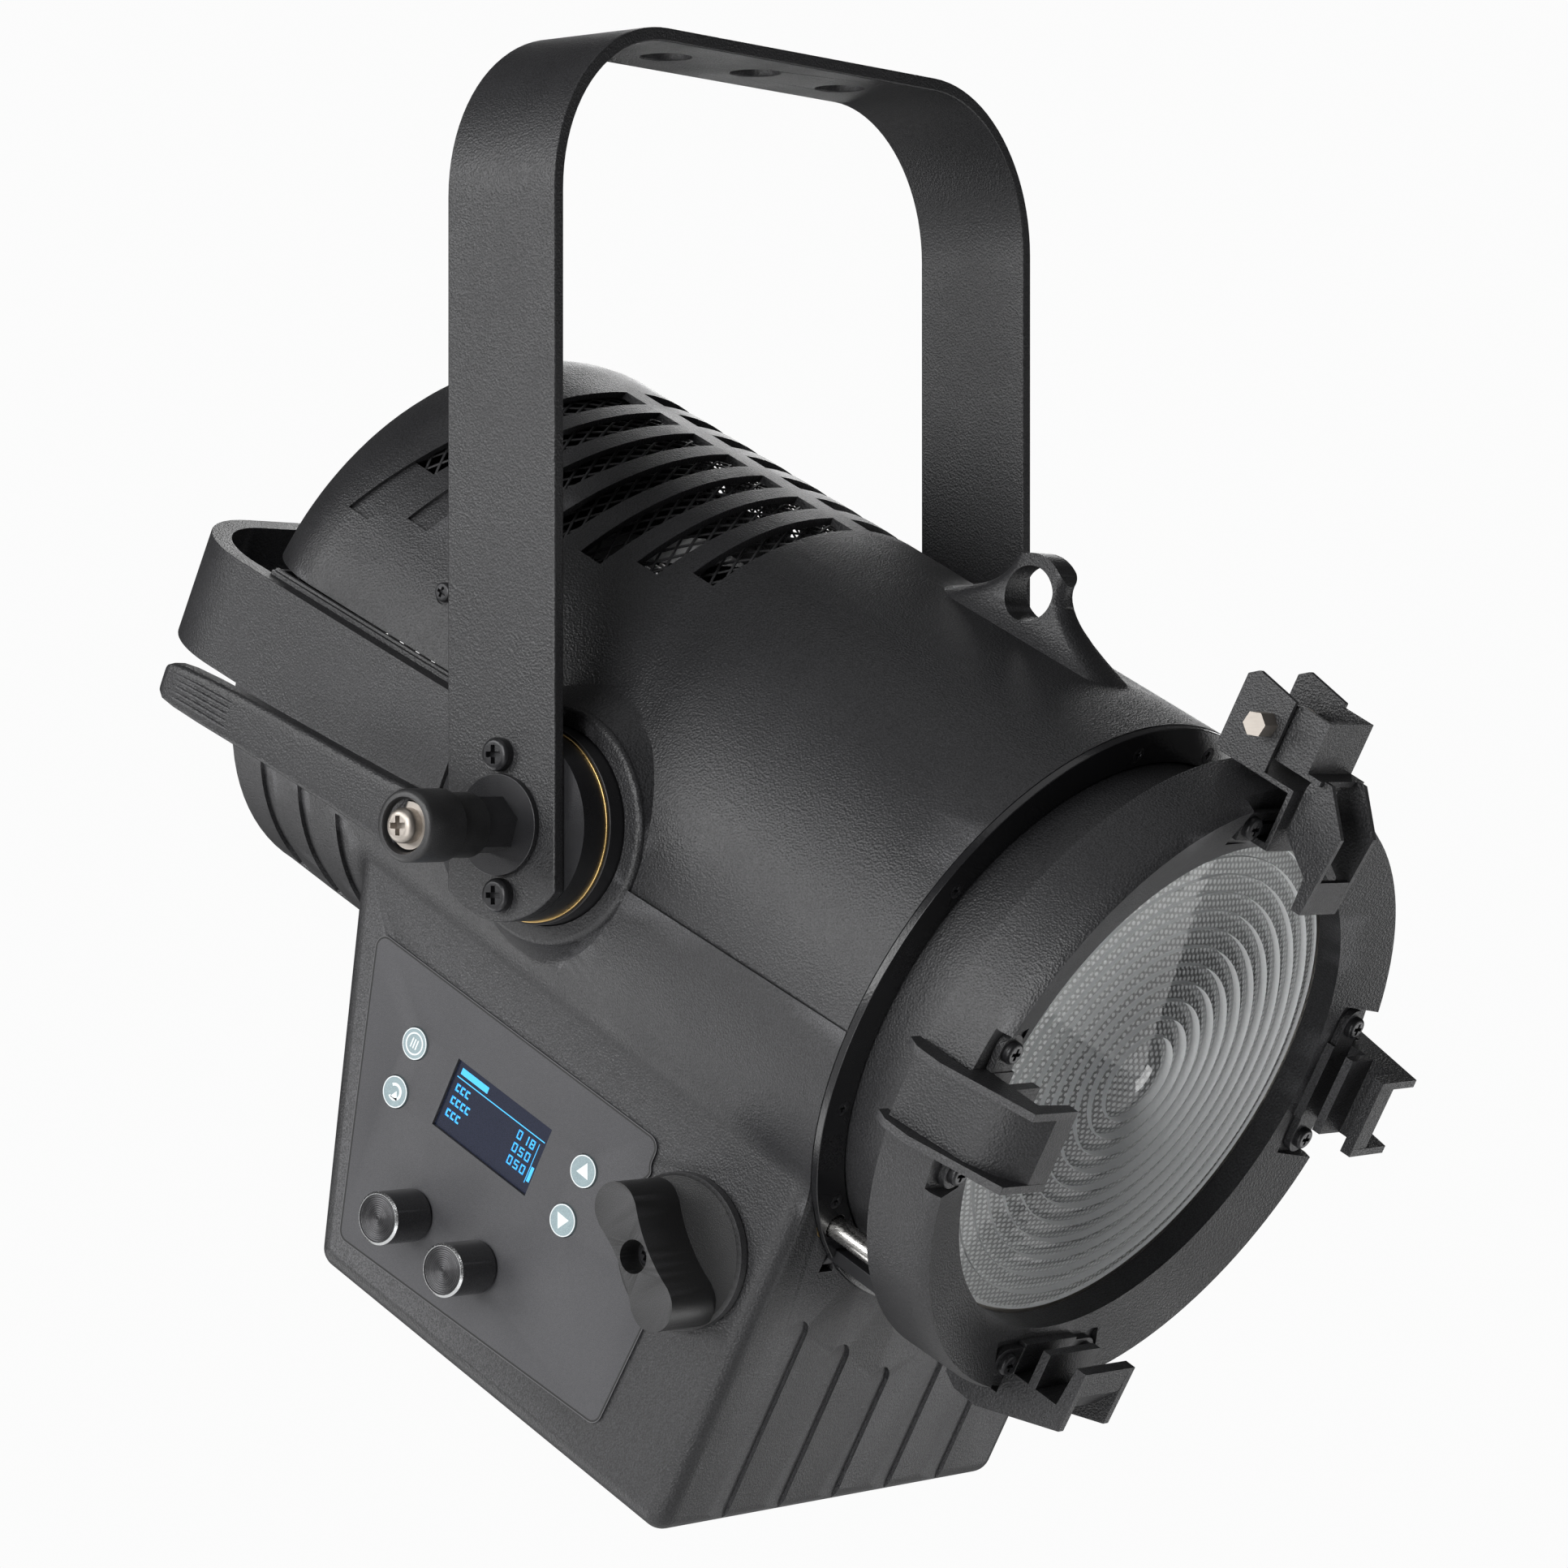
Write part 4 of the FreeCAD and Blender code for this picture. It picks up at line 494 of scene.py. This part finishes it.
SEGMENTS = {"top": (0.0, 1.0, 1.0, 1.0), "mid": (0.0, 0.5, 1.0, 0.5), "low": (0.0, 0.0, 1.0, 0.0),
            "upper_left": (0.0, 0.5, 0.0, 1.0), "upper_right": (1.0, 0.5, 1.0, 1.0),
            "lower_left": (0.0, 0.0, 0.0, 0.5), "lower_right": (1.0, 0.0, 1.0, 0.5)}
DIGITS = {"0": ("top", "low", "upper_left", "upper_right", "lower_left", "lower_right"),
          "5": ("top", "mid", "low", "upper_left", "lower_right"),
          "1": ("upper_right", "lower_right"),
          "8": tuple(SEGMENTS)}


def bar(bm, y0, y1, z0, z1, face, thick=0.04):
    slab(bm, [(y0, z0), (y1, z0), (y1, z1), (y0, z1)], face - thick, face)


def digit(bm, symbol, y, z, width, height, face):
    """Seven-segment figure; y runs towards the rear of the lamp, so figures are drawn towards -y."""
    pen = 0.28
    for name in DIGITS[symbol]:
        u0, w0, u1, w1 = SEGMENTS[name]
        ys = sorted((y - u0 * width, y - u1 * width))
        zs = sorted((z + w0 * height, z + w1 * height))
        bar(bm, ys[0] - pen, ys[1] + pen, zs[0] - pen, zs[1] + pen, face)


def make_screen():
    """Lit rows on the display: plain three-stroke marks for the labels, figures for the levels."""
    face = WINDOW_FACE - 0.02
    rear, front = SCREEN_Y[1], SCREEN_Y[0]
    top = SCREEN_TOP
    bm = bmesh.new()
    bar(bm, front + 1.5, rear - 1.5, top - 6.6, top - 6.2, face)
    bar(bm, rear - 17.0, rear - 2.5, top - 4.9, top - 2.4, face)
    for row, length in enumerate((9.0, 12.5, 8.0)):
        z = top - 11.6 - ROW_PITCH * row
        for part in range(int(length / LABEL_PITCH)):
            y = rear - 2.8 - LABEL_PITCH * part
            bar(bm, y - 2.0, y, z, z + LABEL_PEN, face)
            bar(bm, y - 2.0, y, z + LABEL_HEIGHT - LABEL_PEN, z + LABEL_HEIGHT, face)
            bar(bm, y - LABEL_PEN, y, z, z + LABEL_HEIGHT, face)
        for place, symbol in enumerate("018" if row == 0 else "050"):
            digit(bm, symbol, front + 14.0 - FIGURE_PITCH * place, z + 0.2, 1.8, LABEL_HEIGHT, face)
    bar(bm, front + 3.2, front + 3.5, top - 24.0, top - 8.0, face)
    bar(bm, front + 1.4, front + 2.8, top - 23.0, top - 17.0, face)
    glow = lit("lit_cyan", (0.05, 0.36, 0.72), 0.9)
    new_piece("display_figures", bm, HEAD, "head", [glow], smooth=False)


def triangle(bm, centre, size, towards):
    """Points level, to the rear for towards = 1 and to the front for -1."""
    ahead = Vector(LEVEL) * towards * size
    across = Vector((-ahead.y, ahead.x))
    foot = Vector(centre) - 0.7 * ahead
    slab(bm, [Vector(centre) + ahead, foot + across, foot - across], SIGN_FACE, SIGN_FOOT)


def make_key_signs():
    """Raised white signs on the four keys, each riding on its key."""
    white = printed_white()
    for name, (y, z) in KEYS.items():
        bm = bmesh.new()
        face, sunk = SIGN_FACE, SIGN_FOOT
        if name == "menu":
            ring_outline(4.3, 3.7, face, sunk, bm, (y, z))
            for row in (-1, 0, 1):
                bar(bm, y + 1.3 * row - 0.3, y + 1.3 * row + 0.3, z - 1.9, z + 1.9, sunk, sunk - face)
        elif name == "back":
            arc = [math.radians(40 + 10 * k) for k in range(28)]
            for t0, t1 in zip(arc, arc[1:]):
                slab(bm, [(y + r * math.cos(t), z + r * math.sin(t))
                          for r, t in ((3.4, t0), (3.4, t1), (2.3, t1), (2.3, t0))], face, sunk)
            triangle(bm, (y - 0.4, z - 1.6), 1.9, 1)
        else:
            triangle(bm, (y, z), 3.1, -1 if name == "right" else 1)
        ring_outline(5.95, 5.55, face, sunk, bm, (y, z))
        new_piece("sign_" + name, bm, HEAD, "key_" + name, [white], smooth=False)


def outer_loop(bm):
    """Longest chain of boundary edges, as (y, z) points in order."""
    edges = {edge for edge in bm.edges if edge.is_boundary}
    loops = []
    while edges:
        edge = min(edges, key=lambda e: e.index)
        edges.discard(edge)
        start, vert = edge.verts
        chain = [start, vert]
        while vert != start:
            edge = next(e for e in vert.link_edges if e in edges)
            edges.discard(edge)
            vert = edge.other_vert(vert)
            chain.append(vert)
        loops.append([Vector((v.co.y, v.co.z)) for v in chain[:-1]])
    return max(loops, key=lambda loop: sum((p - q).length for p, q in zip(loop, loop[1:])))


def moved_in(loop, width):
    """The closed outline moved inwards by a width."""
    pairs = list(zip(loop, loop[1:] + loop[:1]))
    area = sum(p.x * q.y - q.x * p.y for p, q in pairs)
    side = math.copysign(1.0, area)
    normals = [side * Vector((p.y - q.y, q.x - p.x)).normalized() for p, q in pairs]
    inward = []
    for k, point in enumerate(loop):
        both = normals[k - 1] + normals[k]
        inward.append(point + both * (2 * width / both.length_squared))
    return inward


def make_panel_edge():
    """Dark joint and thin light line round the printed sheet, taken from the sheet's own outline; the light line
    is a painted highlight on the sheet's edge.
    """
    node = NODES["control_overlay"]
    sheet = bmesh.new()
    sheet.from_mesh(node.data)
    sheet.transform(HEAD.inverted() @ node.matrix_world)
    bmesh.ops.remove_doubles(sheet, verts=sheet.verts, dist=0.01)
    sheet.normal_update()
    bmesh.ops.delete(sheet, geom=[f for f in sheet.faces if f.normal.x > -0.99], context="FACES")
    sheet.edges.index_update()
    outline = outer_loop(sheet)
    sheet.free()
    bm = bmesh.new()
    for index, (outer, inner) in enumerate(((0.3, 1.0), (0.02, 0.3))):
        rows = [[bm.verts.new((x, *point)) for point in moved_in(outline, width)]
                for x, width in ((PANEL_FACE + 0.02, outer), (PANEL_FACE - 0.03, outer),
                                 (PANEL_FACE - 0.03, inner), (PANEL_FACE + 0.02, inner))]
        for row, following in zip(rows, rows[1:] + rows[:1]):
            for k in range(len(row)):
                n = (k + 1) % len(row)
                face = bm.faces.new((row[k], row[n], following[n], following[k]))
                face.material_index = index
    # painted highlight: a thin lighter line standing in for light caught at the sheet's edge
    light = coat("border_painted_highlight", (0.09, 0.09, 0.095), 0.4, 2500.0, 0.00002)
    joint = coat("border_joint", (0.004, 0.004, 0.004), 0.5, 2500.0, 0.00002, edge_highlight_and_wear=(0.01, 0.01, 0.01))
    new_piece("panel_border", bm, HEAD, "head", [joint, light], smooth=False)


# ---- turning knobs ------------------------------------------------------------------------------------
KNOB_R = 9.85
KNOB_FOOT = -102.4
KNOB_LENGTH = 19.0
GROOVE_STEP = 0.13
GROOVE_DEPTHS = (0.02, 0.035, 0.055)
KNOBS = {"encoder_knob_rear": (1.5, -164.5, "encoder_rear"),
         "encoder_knob_front": (-34.5, -164.5, "encoder_front")}


def spun_face():
    """Spun metal: highlights stretch across the circular lines."""
    mat, tree, shader, coords = new_material("spun_face")
    rings = tree.nodes.new("ShaderNodeTexWave")
    rings.wave_type, rings.rings_direction = "RINGS", "Y"
    rings.inputs["Scale"].default_value = 900.0
    rings.inputs["Distortion"].default_value = 1.0
    tree.links.new(coords, rings.inputs["Vector"])
    tree.links.new(blend_colours(tree, rings.outputs["Fac"], (0.035, 0.035, 0.037), (0.07, 0.07, 0.072)),
                   shader.inputs["Base Color"])
    shader.inputs["Metallic"].default_value = 1.0
    shader.inputs["Roughness"].default_value = 0.24
    shader.inputs["Anisotropic"].default_value = 0.9
    tangent = tree.nodes.new("ShaderNodeTangent")
    tangent.direction_type, tangent.axis = "RADIAL", "Y"
    tree.links.new(tangent.outputs["Tangent"], shader.inputs["Tangent"])
    bump(tree, shader, rings.outputs["Fac"], 0.08, 0.00003)
    return mat


def spun_grooves(depth_at, r_out, r_in):
    """Fine turned grooves from r_out to r_in, with three slopes in turn."""
    points = []
    count = int((r_out - r_in) / GROOVE_STEP)
    for k in range(count):
        sunk = GROOVE_DEPTHS[(k // 2) % len(GROOVE_DEPTHS)] if k % 2 else 0.0
        points.append((depth_at - sunk, r_out - GROOVE_STEP * k))
    return points


def make_turning_knobs():
    side = coat("knob_side", (0.008, 0.008, 0.009), 0.16, 2600.0, 0.00001, gloss=0.6)
    rim = metal("bright_chamfer", (0.80, 0.81, 0.82), 0.22)
    face = spun_face()
    for name, (y, z, body) in KNOBS.items():
        bm = bmesh.new()
        tip = KNOB_LENGTH
        profile = [(0.0, 3.0), (0.0, KNOB_R - 0.7), (0.5, KNOB_R), (tip - 0.75, KNOB_R),
                   (tip - 0.1, KNOB_R - 0.75), (tip - 0.1, KNOB_R - 1.0)]
        grooves = spun_grooves(tip - 0.3, KNOB_R - 1.15, 0.3) + [(tip - 0.3, 0.0)]
        lathe(bm, profile + grooves, 96, material=[1, 0, 0, 2, 2, 0] + [1] * (len(grooves) - 1))
        place = HEAD @ Matrix.Translation((KNOB_FOOT, y, z)) @ Matrix.Rotation(math.radians(90), 4, "Z")
        piece = new_piece("turned_" + name, bm, place, body, [side, face, rim])
        sharp = piece.modifiers.new("sharp", "EDGE_SPLIT")
        sharp.split_angle = math.radians(12)
        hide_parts(name)


# ---- guard under the louvres --------------------------------------------------------------------------
GUARD_R = 107.9
GUARD_Y = (-3.5, 149.5)
GUARD_HALF = math.radians(58)
GUARD_PITCH = 5.2
GUARD_STRAND = 0.5            # half width of a strand
GUARD_RISE = 0.5              # slope of the strands
GUARD_WEAVE = 0.15            # one family of strands lies this far above the middle, the other below
GUARD_THICK = 0.6
GUARD_STEPS = 60


def make_guard():
    """Expanded-metal guard: two families of slanted strands on a cylinder."""
    bm = bmesh.new()
    width = GUARD_Y[1] - GUARD_Y[0]
    half_arc = GUARD_R * GUARD_HALF
    lines = int((width + 2 * half_arc * GUARD_RISE) / GUARD_PITCH) + 2
    for slant in (-1, 1):
        for line in range(-lines, lines + 1):
            row = []
            for k in range(GUARD_STEPS + 1):
                arc = half_arc * (2 * k / GUARD_STEPS - 1)
                y = GUARD_Y[0] + GUARD_PITCH * line + slant * GUARD_RISE * arc
                if not GUARD_Y[0] <= y <= GUARD_Y[1]:
                    row = []
                    continue
                turn = arc / GUARD_R
                r = GUARD_R + GUARD_WEAVE * slant
                x, z = r * math.sin(turn), OPTIC + r * math.cos(turn)
                pair = [bm.verts.new((x, y + side * GUARD_STRAND, z)) for side in (-1, 1)]
                if row:
                    bm.faces.new((row[0], row[1], pair[1], pair[0]))
                row = pair
    piece = new_piece("guard_mesh", bm, HEAD, "head", [MATS["black_mesh"]])
    thick = piece.modifiers.new("thick", "SOLIDIFY")
    thick.thickness = GUARD_THICK * MM
    thick.offset = 0.0
    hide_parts("louvre_mesh")


# ---- clamp lever --------------------------------------------------------------------------------------
LEVER_FACE = -194.0
LEVER_INNER = -161.0
BARREL_R = 12.8
BORE_R = 9.3
RIB_PITCH = 2.35
LEVER_RAISE = math.radians(24)


def section_loop(bm, y, x_out, x_in, half, squareness=5.5, steps=40):
    """Closed loop of vertices round the arm at y: a squared-off oval."""
    centre, reach = (x_out + x_in) / 2, (x_in - x_out) / 2
    loop = []
    for k in range(steps):
        t = 2 * math.pi * k / steps
        c, s = math.cos(t), math.sin(t)
        x = centre + reach * math.copysign(abs(c) ** (2 / squareness), c)
        z = half * math.copysign(abs(s) ** (2 / squareness), s)
        loop.append(bm.verts.new((x, y, z)))
    return loop


def loft(bm, loops):
    for low, high in zip(loops, loops[1:]):
        for k in range(len(low)):
            n = (k + 1) % len(low)
            bm.faces.new((low[k], low[n], high[n], high[k]))
    bm.faces.new(list(reversed(loops[0])))
    bm.faces.new(loops[-1])


def make_lever():
    """Lever arm that tapers and turns outwards to a ribbed tip, on a stepped barrel."""
    bm = bmesh.new()
    # along the arm, outer face, inner face, half height
    stations = [(4.0, 2.5, 11.5, 11.5), (16.0, 2.6, 11.8, 10.8), (40.0, 3.2, 11.6, 10.0),
                (70.0, 3.4, 11.2, 9.4), (92.0, 2.8, 11.0, 9.0), (108.0, 1.6, 10.6, 8.6),
                (120.0, 0.5, 10.0, 7.9), (126.0, 0.25, 9.4, 7.0), (128.6, 1.2, 8.4, 5.4)]
    loft(bm, [section_loop(bm, y, LEVER_FACE + out, LEVER_FACE + into, half)
              for y, out, into, half in stations])
    for rib in range(-2, 3):
        z = RIB_PITCH * rib
        ribs = [(93.0 - 3.0 * (abs(rib) == 2), 3.1, 0.15), (96.0, 1.9, 0.75), (108.0, 0.95, 0.85),
                (119.0, 0.15, 0.8), (124.0, 0.12, 0.3)]
        loops = []
        for y, out, half in ribs:
            loop = section_loop(bm, y, LEVER_FACE + out, LEVER_FACE + out + 2.2, half, 2.0, 10)
            for vert in loop:
                vert.co.z += z * (1.0 - 0.12 * (y - 93.0) / 30.0)
            loops.append(loop)
        loft(bm, loops)
    bmesh.ops.rotate(bm, verts=bm.verts, cent=(0, 0, 0), matrix=Matrix.Rotation(LEVER_RAISE, 3, "X"))
    arm = new_piece("lever_arm", bm, ARM, "lever", [MATS["black_coat"]])
    barrel = bmesh.new()
    length = LEVER_INNER - LEVER_FACE
    profile = [(1.2, BORE_R), (0.0, BORE_R + 0.7), (0.0, BARREL_R - 1.8), (0.5, BARREL_R - 0.6),
               (1.8, BARREL_R), (18.5, BARREL_R), (19.2, BARREL_R - 0.6), (19.6, BARREL_R - 1.3),
               (length - 0.8, BARREL_R - 1.3),
               (length, BARREL_R - 2.1), (length, 7.2), (17.0, 7.2), (17.0, BORE_R), (1.2, BORE_R)]
    lathe(barrel, profile, 72)
    bmesh.ops.remove_doubles(barrel, verts=barrel.verts, dist=0.001)
    place = ARM @ Matrix.Translation((LEVER_FACE, 0, 0)) @ Matrix.Rotation(math.radians(-90), 4, "Z")
    body = new_piece("lever_barrel", barrel, place, "lever", [MATS["black_plastic"]])
    split = body.modifiers.new("sharp", "EDGE_SPLIT")
    split.split_angle = math.radians(50)
    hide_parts("clamp_handle")


make_lens()
make_lattice()
make_screen()
make_key_signs()
make_panel_edge()
make_turning_knobs()
make_guard()
make_lever()


# ---- studio ----------------------------------------------------------------------------------------
FLOOR_R = 2.2
FLOOR_Z = -1.6
CAMERA_AZIMUTH = math.radians(51.93)
CAMERA_OFFSET = Vector((-1.45535, -1.15391, 0.01427))    # from the tilt axis


def make_camera():
    camera = bpy.data.objects.new("camera", bpy.data.cameras.new("camera"))
    bpy.context.scene.collection.objects.link(camera)
    camera.data.sensor_width = 36.0
    camera.data.lens = 114.05
    camera.data.clip_start, camera.data.clip_end = 0.05, 60.0
    camera.location = Vector(PIVOT) + CAMERA_OFFSET
    ahead = Vector((math.sin(CAMERA_AZIMUTH), math.cos(CAMERA_AZIMUTH), 0.0))
    camera.rotation_mode = "QUATERNION"
    camera.rotation_quaternion = ahead.to_track_quat("-Z", "Y")
    bpy.context.scene.camera = camera


# name: place, size, watts
LIGHTS = {
    "top_box": ((-0.2, -0.2, 2.0), (1.6, 1.6), 4.5),
    "side_box_high": ((-2.0, 1.4, 0.6), (1.4, 1.2), 33.0),
    "side_box_low": ((-1.9, 1.3, -0.9), (1.4, 1.2), 3.0),
    "low_box": ((-1.9, -0.4, -1.4), (1.4, 1.2), 18.0),
    "left_box": ((-2.4, -0.3, 0.3), (1.2, 1.4), 44.0),
    "front_box": ((1.0, -1.9, -0.9), (1.6, 1.4), 11.0),
    "back_low_box": ((-0.7, 1.75, -1.15), (1.2, 1.0), 10.0),
    "rim_box": ((1.9, 1.2, 0.6), (0.8, 1.8), 17.0),
    "lens_box": ((1.56, -0.85, -1.35), (0.7, 0.7), 5.0),
}
LIGHT_AIM = Vector((0.0, -0.05, -0.27))


def softbox(name, place, size, power):
    light = bpy.data.objects.new(name, bpy.data.lights.new(name, "AREA"))
    bpy.context.scene.collection.objects.link(light)
    light.data.shape = "RECTANGLE"
    light.data.size, light.data.size_y = size
    light.data.energy = power
    light.location = place
    light.rotation_mode = "QUATERNION"
    light.rotation_quaternion = (LIGHT_AIM - Vector(place)).to_track_quat("-Z", "Y")


def make_floor():
    bm = bmesh.new()
    bmesh.ops.create_circle(bm, cap_ends=True, segments=128, radius=FLOOR_R)
    mesh = bpy.data.meshes.new("floor")
    bm.to_mesh(mesh)
    bm.free()
    floor = bpy.data.objects.new("floor", mesh)
    bpy.context.scene.collection.objects.link(floor)
    floor.location = (0, 0, FLOOR_Z)
    mat, tree, shader, coords = new_material("pale_floor")
    specks = texture(tree, "ShaderNodeTexNoise", coords, 3.0, Detail=4.0)
    tree.links.new(blend_colours(tree, specks.outputs["Fac"], (0.86, 0.86, 0.86), (0.9, 0.9, 0.9)),
                   shader.inputs["Base Color"])
    shader.inputs["Roughness"].default_value = 0.8
    floor.data.materials.append(mat)


def make_world():
    world = bpy.data.worlds.new("studio")
    bpy.context.scene.world = world
    world.use_nodes = True
    tree = world.node_tree
    light = tree.nodes["Background"]
    light.inputs["Color"].default_value = (1, 1, 1, 1)
    light.inputs["Strength"].default_value = 0.05
    seen = tree.nodes.new("ShaderNodeBackground")
    seen.inputs["Color"].default_value = (0.97, 0.97, 0.97, 1)
    seen.inputs["Strength"].default_value = 1.0
    path = tree.nodes.new("ShaderNodeLightPath")
    mix = tree.nodes.new("ShaderNodeMixShader")
    tree.links.new(path.outputs["Is Camera Ray"], mix.inputs["Fac"])
    tree.links.new(light.outputs["Background"], mix.inputs[1])
    tree.links.new(seen.outputs["Background"], mix.inputs[2])
    tree.links.new(mix.outputs["Shader"], tree.nodes["World Output"].inputs["Surface"])


make_camera()
make_world()
make_floor()
for light_name, (light_place, light_size, light_power) in LIGHTS.items():
    softbox(light_name, light_place, light_size, light_power)
bpy.context.scene.view_settings.view_transform = "Standard"
